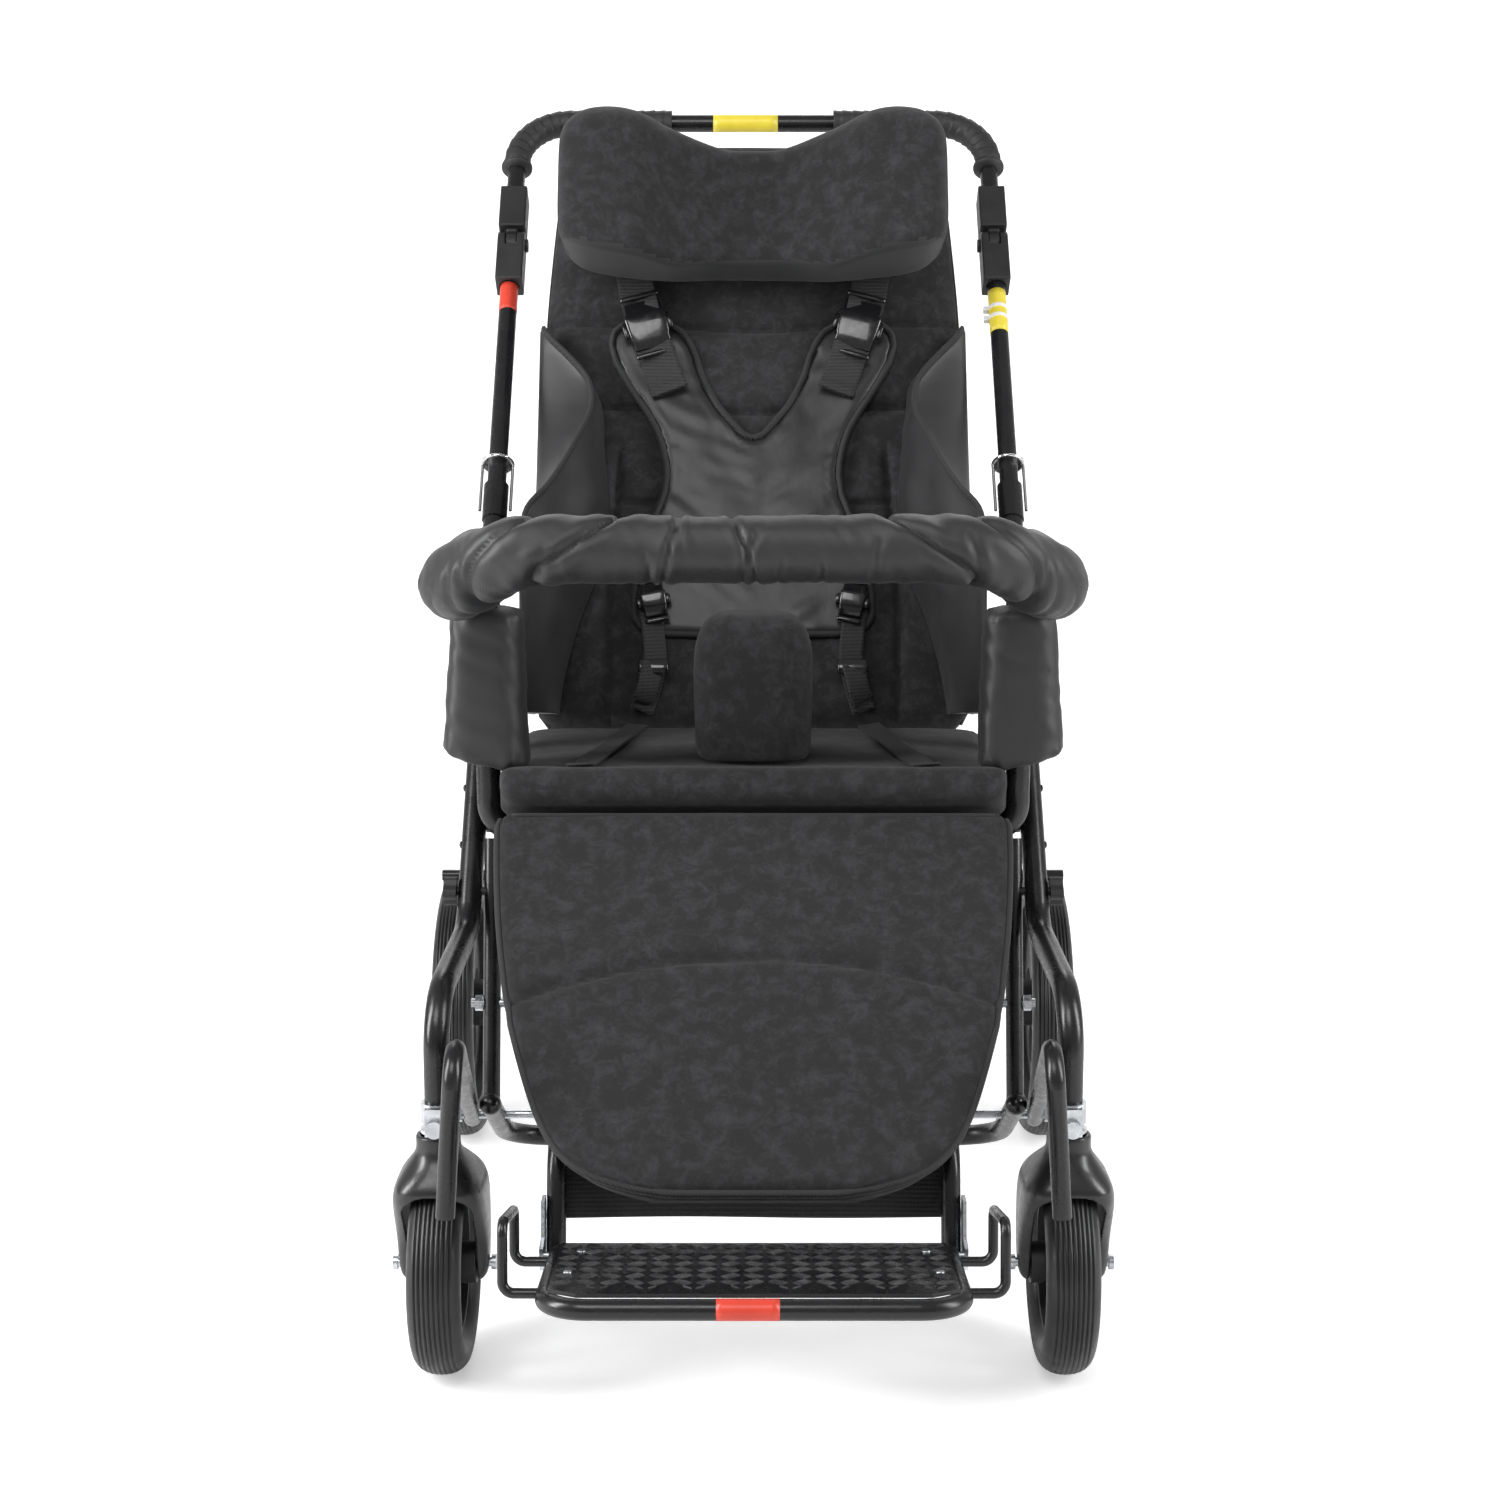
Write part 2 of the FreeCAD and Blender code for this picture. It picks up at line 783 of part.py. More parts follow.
# Seat board: the stiff panel under the cushion
BOARD_Z = RAIL_Z + HANDLE_R + GAP
board = block(
    "seat_board_blank",
    ("2 * Sizes.rail_half", rear_y - front_y - 40, "Sizes.seat_board_thickness"),
    (0, (front_y + rear_y) / 2 - 16, BOARD_Z + size("seat_board_thickness") / 2),
)
board_hole = rod(
    "seat_board_hole", "Sizes.pommel_stem_od + 6", 30.0, (0, size("pommel_y"), BOARD_Z), "z"
)
node(cut("seat_board", board, board_hole), "seat_board")

# Seat cushion: crowned pad with a front roll, and a slot for the pommel's stem
SEAT_Z = BOARD_Z + size("seat_board_thickness") + GAP
seat_back_y = rear_y - 34
roll_y = front_y - 26
roll_r = 17.0
ROLL_RISE = 7.0


def seat_section(x, drop, roll):
    """Side profile of the seat cushion at X, lowered by drop, with its front roll."""
    top = SEAT_Z + size("seat_height") - drop
    low = SEAT_Z
    crest = top + ROLL_RISE
    nose_z = crest - roll
    a = Vector(x, seat_back_y, low + 2)
    b = Vector(x, seat_back_y, top - 9)
    c = Vector(x, seat_back_y - 5, top - 4)
    d = Vector(x, seat_back_y - 14, top - 3)
    e = Vector(x, (seat_back_y + roll_y) / 2, top + 0.5)
    ramp = Vector(x, roll_y + 2 * roll + 6, top)
    f = Vector(x, roll_y + roll, crest)
    g = Vector(x, roll_y + roll * 0.29, nose_z + roll * 0.71)
    h = Vector(x, roll_y, nose_z)
    i = Vector(x, roll_y + roll * 0.29, nose_z - roll * 0.71)
    j = Vector(x, roll_y + roll, nose_z - roll + 1)
    k = Vector(x, front_y + 6, low)
    m = Vector(x, seat_back_y - 2, low)
    return Part.Wire(
        [
            Part.LineSegment(a, b).toShape(),
            Part.Arc(b, c, d).toShape(),
            Part.Arc(d, e, ramp).toShape(),
            Part.LineSegment(ramp, f).toShape(),
            Part.Arc(f, g, h).toShape(),
            Part.Arc(h, i, j).toShape(),
            Part.LineSegment(j, k).toShape(),
            Part.LineSegment(k, m).toShape(),
            Part.LineSegment(m, a).toShape(),
        ]
    )


SEAT_STATIONS = (
    (-1.0, 10.0, -7.0),
    (-0.97, 4.0, -2.0),
    (-0.85, 1.0, 0.0),
    (0.0, -2.0, 0.0),
    (0.85, 1.0, 0.0),
    (0.97, 4.0, -2.0),
    (1.0, 10.0, -7.0),
)
seat_blank = formed(
    "seat_cushion_blank",
    Part.makeLoft(
        [seat_section(t * size("seat_half"), drop, roll_r + r / 2) for t, drop, r in SEAT_STATIONS],
        True,
        True,
    ),
)
seat_slot = rod(
    "seat_cushion_slot", "Sizes.pommel_stem_od + 8", 160.0, (0, size("pommel_y"), SEAT_Z), "z"
)
node(cut("seat_cushion", seat_blank, seat_slot), "seat_cushion")

# Rear legs: from the seat rails down to the rear axle
AXLE_Z = size("rear_wheel_od") / 2
leg_top = Vector(0, size("rear_leg_top_y"), RAIL_Z - HANDLE_R)
axle_point = Vector(0, size("rear_axle_y"), AXLE_Z)
leg_run = leg_top - axle_point
leg_unit = Vector(leg_run).normalize()
leg_top = leg_top - leg_unit * ((HANDLE_R * abs(leg_unit.y) + GAP) / leg_unit.z)
rear_legs = []


def on_rear_leg(y, x):
    """The point of a rear leg's centre line at this Y."""
    along = (y - axle_point.y) / leg_unit.y
    return Vector(x, y, axle_point.z + leg_unit.z * along)


ROD_HIGH_Y = 252.0
ROD_LOW_Y = 345.0
for side, sign in SIDES:
    x = sign * RAIL_HALF
    line = route([(x, axle_point.y, axle_point.z), (x, leg_top.y, leg_top.z)], [])
    outer, bore = tube(f"rear_leg_{side}_run", line, "handle_tube_od")
    boss = rod(
        f"rear_leg_boss_{side}", "Sizes.axle_od + 12", "Sizes.handle_tube_od + 4", (x, *axle_point[1:]), "x"
    )
    axle_hole = rod(
        f"rear_leg_axle_hole_{side}",
        "Sizes.axle_od + 2 * Sizes.fit_gap",
        60.0,
        (x, *axle_point[1:]),
        "x",
    )
    holes = [
        rod(
            f"rear_leg_hole_{side}_{n}",
            "Sizes.small_rod_od + 2 * Sizes.fit_gap",
            40.0,
            tuple(on_rear_leg(y, x)),
            "x",
        )
        for n, y in enumerate((ROD_HIGH_Y, size("brake_y"), ROD_LOW_Y))
    ]
    solid = fuse(f"rear_leg_{side}_solid", [outer, boss])
    hollow = fuse(f"rear_leg_{side}_hollow", [bore, axle_hole] + holes)
    rear_legs.append(cut(f"rear_leg_{side}", solid, hollow))
node(group("rear_legs", rear_legs), "rear_legs")

# Lower frame: two struts and a U tube whose closed ends face forward
lower_half = size("lower_half")
u_line = route(
    [
        (-lower_half, size("lower_front_y"), size("lower_front_z")),
        (-lower_half, size("lower_rear_y"), size("lower_bar_z")),
        (lower_half, size("lower_rear_y"), size("lower_bar_z")),
        (lower_half, size("lower_front_y"), size("lower_front_z")),
    ],
    [size("lower_bend")] * 2,
)
u_outer, u_bore = tube("lower_u", u_line, "handle_tube_od")
u_start = Vector(0, size("lower_front_y"), size("lower_front_z"))
u_unit = (Vector(0, size("lower_rear_y"), size("lower_bar_z")) - u_start).normalize()
strut_foot = u_start + u_unit * 12
STRUT_TOP_Z = RAIL_Z - 8.5
struts = []
caps = []
for side, sign in SIDES:
    line = route(
        [
            (sign * lower_half, strut_foot.y, strut_foot.z),
            (sign * lower_half, size("strut_top_y"), STRUT_TOP_Z),
        ],
        [],
    )
    struts.append(tube(f"strut_{side}", line, "light_tube_od"))
    cap = doc.addObject("Part::Sphere", f"lower_cap_{side}")
    bind(cap, "Radius", "Sizes.handle_tube_od / 2 + 0.6")
    cap.Placement = Placement(
        Vector(sign * lower_half, u_start.y, u_start.z) + u_unit * 4, Rotation()
    )
    caps.append(cap)


def on_strut(z, x):
    """The point of a strut's centre line at this height."""
    part = (z - strut_foot.z) / (STRUT_TOP_Z - strut_foot.z)
    return Vector(x, strut_foot.y + part * (size("strut_top_y") - strut_foot.y), z)


STRUT_ROD_Z = 285.0
U_ROD_Y = -77.0
u_rod_z = u_start.z + u_unit.z * (U_ROD_Y - u_start.y) / u_unit.y
lower_holes = []
for side, sign in SIDES:
    for n, place in enumerate(
        (on_strut(STRUT_ROD_Z, 0), KNOB_POINT, Vector(0, U_ROD_Y, u_rod_z))
    ):
        lower_holes.append(
            rod(
                f"lower_hole_{side}_{n}",
                "Sizes.small_rod_od + 2 * Sizes.fit_gap",
                40.0,
                (sign * lower_half, place.y, place.z),
                "x",
            )
        )
u_bore_line = route(
    [
        (-lower_half, u_start.y + 10, u_start.z + u_unit.z * 10 / u_unit.y),
        (-lower_half, size("lower_rear_y"), size("lower_bar_z")),
        (lower_half, size("lower_rear_y"), size("lower_bar_z")),
        (lower_half, u_start.y + 10, u_start.z + u_unit.z * 10 / u_unit.y),
    ],
    [size("lower_bend")] * 2,
)
u_inside = swept("lower_u_inside", u_bore_line, "Sizes.handle_tube_od - 2 * Sizes.tube_wall")
solid = fuse("lower_frame_solid", [u_outer, struts[0][0], struts[1][0]] + caps)
node(cut("lower_frame", solid, fuse("lower_frame_hollow", [u_inside] + lower_holes)), "lower_frame")

# Front guards: cane-shaped bars that step in front of the casters
guards = []
guard_corner = Vector(0, size("guard_front_y") + 2, size("guard_corner_z"))
guard_slope = (u_rod_z - guard_corner.z) / (U_ROD_Y - guard_corner.y)
guard_end_z = u_rod_z + guard_slope * (size("guard_rear_y") - U_ROD_Y)
pass_stem = (size("stem_y"), size("stem_half") - MAIN_R - LIGHT_R - 1.0)
pass_cap = (size("lower_front_y") - 10.0, lower_half + HANDLE_R + LIGHT_R + 1.0)
guard_flare = (pass_cap[1] - pass_stem[1]) / (pass_cap[0] - pass_stem[0])


def guard_x(y):
    """How far out a guard's rear run is at this Y."""
    return pass_stem[1] + guard_flare * (y - pass_stem[0])


GUARD_X = guard_x(U_ROD_Y)
for side, sign in SIDES:
    line = route(
        [
            (sign * 251.0, size("guard_front_y"), size("guard_bottom_z")),
            (sign * guard_x(guard_corner.y), guard_corner.y, guard_corner.z),
            (sign * guard_x(size("guard_rear_y")), size("guard_rear_y"), guard_end_z),
        ],
        [size("guard_bend")],
    )
    outer, bore = tube(f"guard_{side}_run", line, "light_tube_od")
    hole = rod(
        f"guard_{side}_hole",
        "Sizes.small_rod_od + 2 * Sizes.fit_gap",
        40.0,
        (sign * GUARD_X, U_ROD_Y, u_rod_z),
        "x",
    )
    guards.append(cut(f"guard_{side}", outer, fuse(f"guard_{side}_hollow", [bore, hole])))
node(group("front_guards", guards), "front_guards")

# Arm posts: J-shaped tubes that stand beside the seat
posts = []
for side, sign in SIDES:
    x = sign * size("post_half")
    inner_x = sign * (RAIL_HALF + HANDLE_R + GAP)
    line = route(
        [
            (inner_x, size("post_y"), RAIL_Z),
            (x, size("post_y"), RAIL_Z),
            (x, size("post_y"), size("post_top_z")),
        ],
        [size("post_bend")],
    )
    outer, bore = tube(f"arm_post_{side}_run", line, "main_tube_od")
    posts.append(cut(f"arm_post_{side}", outer, bore))
node(group("arm_posts", posts), "arm_posts")

# Post pads: padded covers round the arm posts, fuller at the bottom
pads = []
for side, sign in SIDES:
    low = size("pad_bottom_z")
    high = size("post_top_z")
    stations = (
        (low, 0.86),
        (low + 4, 0.97),
        (low + 20, 1.0),
        ((low + high) / 2, 0.97),
        (high - 18, 0.94),
        (high - 3, 0.88),
        (high, 0.76),
    )
    sections = [
        rounded_section(size("pad_width") / 2 * k, size("pad_depth") / 2 * k, z, 20.0 * k)
        for z, k in stations
    ]
    pad_body = formed(f"post_pad_{side}_body", Part.makeLoft(sections, True, True))
    pad_body.Placement = Placement(Vector(sign * size("post_half"), size("post_y"), 0), Rotation())
    hole = rod(
        f"post_pad_{side}_hole",
        "Sizes.main_tube_od + 2 * Sizes.soft_gap",
        400.0,
        (sign * size("post_half"), size("post_y"), (low + high) / 2),
        "z",
    )
    pads.append(cut(f"post_pad_{side}", pad_body, hole))
node(group("post_pads", pads), "post_pads")

# Stem housings: zinc bushes in the lower ends of the side tubes, with a collar outside
STEM_PIN_D = 12.0
housings = []
for side, sign in SIDES:
    at = (sign * size("stem_half"), size("stem_y"))
    low = size("stem_bottom_z")
    sleeve_in = rod(
        f"stem_bush_{side}",
        "Sizes.main_tube_od - 2 * Sizes.tube_wall - 2 * Sizes.fit_gap",
        50.0,
        (*at, low + 23),
    )
    flange = rod(f"stem_flange_{side}", "Sizes.main_tube_od + 8", 3.0, (*at, low - 1.7))
    collar = rod(f"stem_collar_{side}", "Sizes.main_tube_od + 6", 18.0, (*at, low + 14))
    collar_bore = rod(
        f"stem_collar_bore_{side}", "Sizes.main_tube_od + 2 * Sizes.fit_gap", 18.0, (*at, low + 14)
    )
    band = cut(f"stem_band_{side}", collar, collar_bore)
    ear = block(f"stem_ear_{side}", (17.0, 8.0, 24.0), (at[0], at[1] - MAIN_R - 6, low + 10))
    head = rod(f"stem_bolt_head_{side}", 15.0, 6.0, (at[0], at[1] - MAIN_R - 12.5, low + 5.6), "y")
    pin_bore = rod(
        f"stem_pin_bore_{side}", STEM_PIN_D + 2 * size("fit_gap"), 120.0, (*at, low + 20)
    )
    solid = fuse(f"stem_solid_{side}", [sleeve_in, flange, band, ear, head])
    housings.append(cut(f"stem_housing_{side}", solid, pin_bore))
node(group("stem_housings", housings), "stem_housings")

# Caster forks: moulded hoods with two blades and a neck for the stem
FRONT_R = size("front_wheel_od") / 2
wheel_y = size("stem_y") + size("trail")
CLEAR_R = FRONT_R + 6
neck_top = size("neck_top_z")
for side, sign in SIDES:
    x = sign * size("stem_half")
    fw = size("fork_width") / 2
    nr = size("neck_od") / 2
    face_line = [
        Vector(-nr, 0, neck_top),
        Vector(nr, 0, neck_top),
        Vector(nr, 0, neck_top - 8),
        Vector(fw * 0.82, 0, neck_top - 32),
        Vector(fw, 0, neck_top - 66),
        Vector(fw - 1, 0, FRONT_R - 6),
        Vector(fw - 8, 0, FRONT_R - 15),
        Vector(-fw + 8, 0, FRONT_R - 15),
        Vector(-fw + 1, 0, FRONT_R - 6),
        Vector(-fw, 0, neck_top - 66),
        Vector(-fw * 0.82, 0, neck_top - 32),
        Vector(-nr, 0, neck_top - 8),
    ]
    edges = [
        Part.LineSegment(face_line[0], face_line[1]).toShape(),
        Part.LineSegment(face_line[1], face_line[2]).toShape(),
        Part.Arc(face_line[2], face_line[3], face_line[4]).toShape(),
        Part.LineSegment(face_line[4], face_line[5]).toShape(),
        Part.LineSegment(face_line[5], face_line[6]).toShape(),
        Part.LineSegment(face_line[6], face_line[7]).toShape(),
        Part.LineSegment(face_line[7], face_line[8]).toShape(),
        Part.LineSegment(face_line[8], face_line[9]).toShape(),
        Part.Arc(face_line[9], face_line[10], face_line[11]).toShape(),
        Part.LineSegment(face_line[11], face_line[0]).toShape(),
    ]
    front_view = Part.Face(Part.Wire(edges)).extrude(Vector(0, 200, 0))
    front_blank = formed(f"fork_front_{side}", front_view)
    front_blank.Placement = Placement(Vector(x, size("stem_y") - 100, 0), Rotation())
    side_line = [
        (size("stem_y") - nr, neck_top),
        (size("stem_y") + nr, neck_top),
        (size("stem_y") + nr + 2, neck_top - 10),
        (wheel_y + 36, FRONT_R + 80),
        (wheel_y + 20, FRONT_R + 20),
        (wheel_y + 15, FRONT_R - 15),
        (wheel_y - 15, FRONT_R - 15),
        (wheel_y - 20, FRONT_R + 20),
        (wheel_y - 63, FRONT_R + 82),
        (wheel_y - 60, FRONT_R + 98),
        (size("stem_y") - nr - 4, neck_top - 10),
    ]
    side_blank = formed(f"fork_side_{side}", plate(side_line, size("fork_width") + 4))
    side_blank.Placement = Placement(Vector(x, 0, 0), Rotation())
    blank = common(f"fork_blank_{side}", [front_blank, side_blank])
    slot_low = block(
        f"fork_slot_{side}", ("Sizes.fork_slot", 200.0, 100.0), (x, wheel_y, FRONT_R + 10 - 50)
    )
    slot_round = rod(
        f"fork_hood_{side}", 2 * CLEAR_R, "Sizes.fork_slot", (x, wheel_y, FRONT_R), "x"
    )
    stem_hole = rod(
        f"fork_stem_hole_{side}",
        STEM_PIN_D + 2 * size("fit_gap"),
        60.0,
        (x, size("stem_y"), neck_top - 20),
    )
    axle_hole = rod(
        f"fork_axle_hole_{side}",
        "Sizes.front_axle_od + 2 * Sizes.fit_gap",
        120.0,
        (x, wheel_y, FRONT_R),
        "x",
    )
    spaces = fuse(f"fork_spaces_{side}", [slot_low, slot_round, stem_hole, axle_hole])
    node(cut(f"fork_{side}", blank, spaces), f"fork_{side}")
    stem_top = size("stem_bottom_z") + 52
    stem_low = wheel_y * 0 + FRONT_R + CLEAR_R - 1
    stem_pin = rod(
        f"caster_stem_{side}",
        STEM_PIN_D,
        stem_top - stem_low,
        (x, size("stem_y"), (stem_top + stem_low) / 2),
    )
    axle = rod(
        f"caster_axle_{side}",
        "Sizes.front_axle_od",
        size("fork_width") + 2,
        (x, wheel_y, FRONT_R),
        "x",
    )
    heads = [
        rod(
            f"caster_axle_head_{side}_{place}",
            13.0,
            4.0,
            (x + place * (size("fork_width") / 2 + 2.2), wheel_y, FRONT_R),
            "x",
        )
        for place in (-1, 1)
    ]
    bolt = fuse(f"caster_axle_bolt_{side}", [axle] + heads)
    node(group(f"caster_bolts_{side}", [stem_pin, bolt]), f"caster_bolts_{side}")


def tyre(outer_r, inner_r, width, grooves, depth):
    """Tyre with a round shoulder and grooves round its tread, along Z."""
    half = width / 2
    crown = []
    steps = 2 * grooves + 1
    tread = half * 1.3
    for n in range(steps):
        a = -tread / 2 + tread * n / steps
        b = a + tread / steps
        r = outer_r - (depth if n % 2 else 0)
        bow = 3.0
        crown.append((r - bow * (a / half) ** 2, a))
        crown.append((r - bow * (b / half) ** 2, b))
    low = [(inner_r, -half * 0.62), (inner_r + 6, -half * 0.9), (outer_r - 20, -half)]
    low += [(outer_r - 8, -half * 0.9)]
    high = [(r, -a) for r, a in reversed(low)]
    return turned(low + crown + high)


def wheel_rim(outer_r, width, hub_r, bore_r, hub_half, spokes, spoke_width):
    """Moulded rim: a flanged band, a web with rounded windows and a hub."""
    half = width / 2
    band = [
        (outer_r - 7, -half * 0.62),
        (outer_r, -half * 0.62),
        (outer_r, half * 0.62),
        (outer_r - 7, half * 0.62),
    ]
    ring = turned(band)
    web = turned([(hub_r - 1, -4.0), (outer_r - 6, -4.0), (outer_r - 6, 4.0), (hub_r - 1, 4.0)])
    hub = turned([(bore_r, -hub_half), (hub_r, -hub_half), (hub_r, hub_half), (bore_r, hub_half)])
    body = ring.fuse([web, hub])
    middle = (hub_r + outer_r - 7) / 2
    window_r = (outer_r - 7 - hub_r) / 2 - 4
    for n in range(spokes):
        turn = 2 * math.pi * n / spokes
        spread = middle * math.pi / spokes - spoke_width
        window = Part.makeCylinder(
            min(window_r, spread),
            40,
            Vector(-20, middle * math.cos(turn), middle * math.sin(turn)),
            Vector(1, 0, 0),
        )
        body = body.cut(window)
    return body


FRONT_WHEEL = (
    size("front_rim_od") / 2,
    size("front_tyre_width"),
    18.0,
    size("front_axle_od") / 2 + size("fit_gap"),
    size("fork_slot") / 2 - 1.0,
    5,
    10.0,
)
REAR_HUB_HALF = 26.0
REAR_WHEEL = (
    size("rear_rim_od") / 2,
    size("rear_tyre_width"),
    26.0,
    size("axle_od") / 2 + size("fit_gap"),
    REAR_HUB_HALF,
    6,
    14.0,
)
front_tyre_shape = tyre(FRONT_R, FRONT_WHEEL[0] + 0.1, FRONT_WHEEL[1], 6, 1.6)
rear_tyre_shape = tyre(AXLE_Z, REAR_WHEEL[0] + 0.1, REAR_WHEEL[1], 6, 1.8)
front_rim_shape = wheel_rim(*FRONT_WHEEL)
rear_rim_shape = wheel_rim(*REAR_WHEEL)
for side, sign in SIDES:
    front_at = Placement(Vector(sign * size("stem_half"), wheel_y, FRONT_R), Rotation())
    rear_at = Placement(Vector(sign * size("rear_wheel_half"), size("rear_axle_y"), AXLE_Z), Rotation())
    node(formed(f"front_rim_{side}", front_rim_shape, front_at), f"front_rim_{side}")
    node(formed(f"front_tyre_{side}", front_tyre_shape, front_at), f"front_tyre_{side}")
    node(formed(f"rear_rim_{side}", rear_rim_shape, rear_at), f"rear_rim_{side}")
    node(formed(f"rear_tyre_{side}", rear_tyre_shape, rear_at), f"rear_tyre_{side}")

# Rear axle: one zinc rod with a nut outside each wheel
axle_half = size("rear_wheel_half") + REAR_HUB_HALF + 1
axle_rod = rod("rear_axle_rod", "Sizes.axle_od", 2 * axle_half, (0, *axle_point[1:]), "x")
axle_nuts = [
    rod(f"rear_axle_nut_{side}", 18.0, 5.0, (sign * (axle_half - 0.5 + 2), *axle_point[1:]), "x")
    for side, sign in SIDES
]
axle_spacers = [
    rod(
        f"rear_axle_spacer_{side}",
        20.0,
        3.0,
        (sign * (size("rear_wheel_half") - REAR_HUB_HALF - 2.5), *axle_point[1:]),
        "x",
    )
    for side, sign in SIDES
]
node(fuse("rear_axle", [axle_rod] + axle_nuts + axle_spacers), "rear_axle")

# Cross rods: thin rods with hex nuts, between the rear legs, the struts and the guards
rods = []
high = on_rear_leg(ROD_HIGH_Y, 0)
low = on_rear_leg(ROD_LOW_Y, 0)
strut_rod = on_strut(STRUT_ROD_Z, 0)
for name, place, face in (
    ("high", high, RAIL_HALF + HANDLE_R),
    ("low", low, RAIL_HALF + HANDLE_R),
    ("strut", strut_rod, lower_half + LIGHT_R),
    ("lower", Vector(0, U_ROD_Y, u_rod_z), GUARD_X + LIGHT_R),
):
    shank = rod(
        f"cross_rod_shank_{name}",
        "Sizes.small_rod_od",
        2 * (face + 11),
        (0, place.y, place.z),
        "x",
    )
    nuts = []
    for side, sign in SIDES:
        nut = doc.addObject("Part::Prism", f"cross_rod_nut_{name}_{side}")
        nut.Polygon = 6
        bind(nut, "Circumradius", "Sizes.nut_od / 2")
        nut.Height = 6.5
        put(nut, UPRIGHT, (sign * (face + 4) - 3.25, place.y, place.z), ALONG["x"])
        nuts.append(nut)
    rods.append(fuse(f"cross_rod_{name}", [shank] + nuts))
node(group("cross_rods", rods), "cross_rods")

# Frame bolts: pins of the backrest and legrest hinges, and the bolts that carry the knobs
bolts = []
for side, sign in SIDES:
    outer_face = BACK_TUBE_X + HANDLE_R + GAP + LUG
    shank = rod(
        f"back_pin_{side}",
        "Sizes.small_rod_od",
        2 * HANDLE_R + LUG + 1,
        (sign * (outer_face - (2 * HANDLE_R + LUG + 1) / 2 + 0.5), size("back_y"), size("back_z")),
        "x",
    )
    head = rod(
        f"back_pin_head_{side}",
        14.0,
        3.5,
        (sign * (outer_face + 2.05), size("back_y"), size("back_z")),
        "x",
    )
    bolts.append(fuse(f"back_bolt_{side}", [shank, head]))
    outer_face = LEG_TUBE_X + LIGHT_R + GAP + LUG
    shank = rod(
        f"leg_pin_{side}",
        "Sizes.small_rod_od",
        2 * LIGHT_R + LUG + 1,
        (sign * (outer_face - (2 * LIGHT_R + LUG + 1) / 2 + 0.5), size("leg_y"), size("leg_z")),
        "x",
    )
    head = rod(
        f"leg_pin_head_{side}",
        14.0,
        3.5,
        (sign * (outer_face + 2.05), size("leg_y"), size("leg_z")),
        "x",
    )
    bolts.append(fuse(f"leg_bolt_{side}", [shank, head]))
    brake_at = on_rear_leg(size("brake_y"), 0)
    inner_x = RAIL_HALF - HANDLE_R - 2
    outer_x = RAIL_HALF + HANDLE_R + 6 + size("brake_plate") + 4
    shank = rod(
        f"brake_pin_{side}",
        "Sizes.small_rod_od",
        outer_x - inner_x,
        (sign * (outer_x + inner_x) / 2, brake_at.y, brake_at.z),
        "x",
    )
    head = rod(
        f"brake_pin_head_{side}", 14.0, 3.5, (sign * (outer_x + 1.2), brake_at.y, brake_at.z), "x"
    )
    bolts.append(fuse(f"brake_bolt_{side}", [shank, head]))
node(group("frame_bolts", bolts), "frame_bolts")

# Side knobs: plastic hand knobs on a bolt through each side tube and strut
knob_outline = []
for n in range(36):
    turn = 2 * math.pi * n / 36
    lobes = size("knob_od") / 2 * (0.86 + 0.14 * math.cos(4 * turn))
    knob_outline.append((lobes * math.cos(turn), lobes * math.sin(turn)))
knob_shape = plate(knob_outline, size("knob_length"))
for side, sign in SIDES:
    inner_x = lower_half - LIGHT_R - 1
    face_x = size("frame_half") + MAIN_R + 1
    head = formed(f"knob_head_{side}", knob_shape)
    head.Placement = Placement(
        Vector(sign * (face_x + size("knob_length") / 2), KNOB_POINT.y, KNOB_POINT.z), Rotation()
    )
    shank = rod(
        f"knob_shank_{side}",
        "Sizes.small_rod_od",
        face_x - inner_x + 1,
        (sign * ((face_x + inner_x + 1) / 2), KNOB_POINT.y, KNOB_POINT.z),
        "x",
    )
    node(fuse(f"side_knob_{side}", [head, shank]), f"side_knob_{side}")

# Brakes: a steel lever on each rear leg whose pin comes down on the tyre
SHOE_D = 12.0
SHOE_TURN = 72.0
PEDAL_TURN = 15.0
for side, sign in SIDES:
    pivot = on_rear_leg(size("brake_y"), 0)
    lever_x = RAIL_HALF + HANDLE_R + 6 + size("brake_plate") / 2
    arms = []
    tips = []
    for name, turn, reach, width in (
        ("shoe", SHOE_TURN, size("brake_arm"), 16.0),
        ("pedal", PEDAL_TURN, size("brake_pedal"), 16.0),
    ):
        outline = [(-2, -width / 2), (reach, -width / 2), (reach, width / 2), (-2, width / 2)]
        arm = formed(f"brake_arm_{name}_{side}", plate(outline, size("brake_plate")))
        arm.Placement = Placement(
            Vector(sign * lever_x, pivot.y, pivot.z), Rotation(Vector(1, 0, 0), turn)
        )
        arms.append(arm)
        tips.append(
            pivot
            + Vector(0, math.cos(math.radians(turn)) * reach, math.sin(math.radians(turn)) * reach)
        )
    hub = rod(
        f"brake_hub_{side}", 24.0, "Sizes.brake_plate", (sign * lever_x, pivot.y, pivot.z), "x"
    )
    shoe_end = size("rear_wheel_half") + 14
    shoe = rod(
        f"brake_shoe_{side}",
        SHOE_D,
        shoe_end - lever_x,
        (sign * (shoe_end + lever_x) / 2, tips[0].y, tips[0].z),
        "x",
    )
    pad_end = size("rear_wheel_half") - size("rear_tyre_width") / 2 - 6
    pedal = rod(
        f"brake_pedal_bar_{side}",
        14.0,
        pad_end - lever_x,
        (sign * (pad_end + lever_x) / 2, tips[1].y, tips[1].z),
        "x",
    )
    lever = fuse(f"brake_lever_{side}", arms + [hub, shoe, pedal])
    hole = rod(
        f"brake_hole_{side}",
        "Sizes.small_rod_od + 2 * Sizes.fit_gap",
        40.0,
        (sign * lever_x, pivot.y, pivot.z),
        "x",
    )
    node(cut(f"brake_{side}", lever, hole), f"brake_{side}")

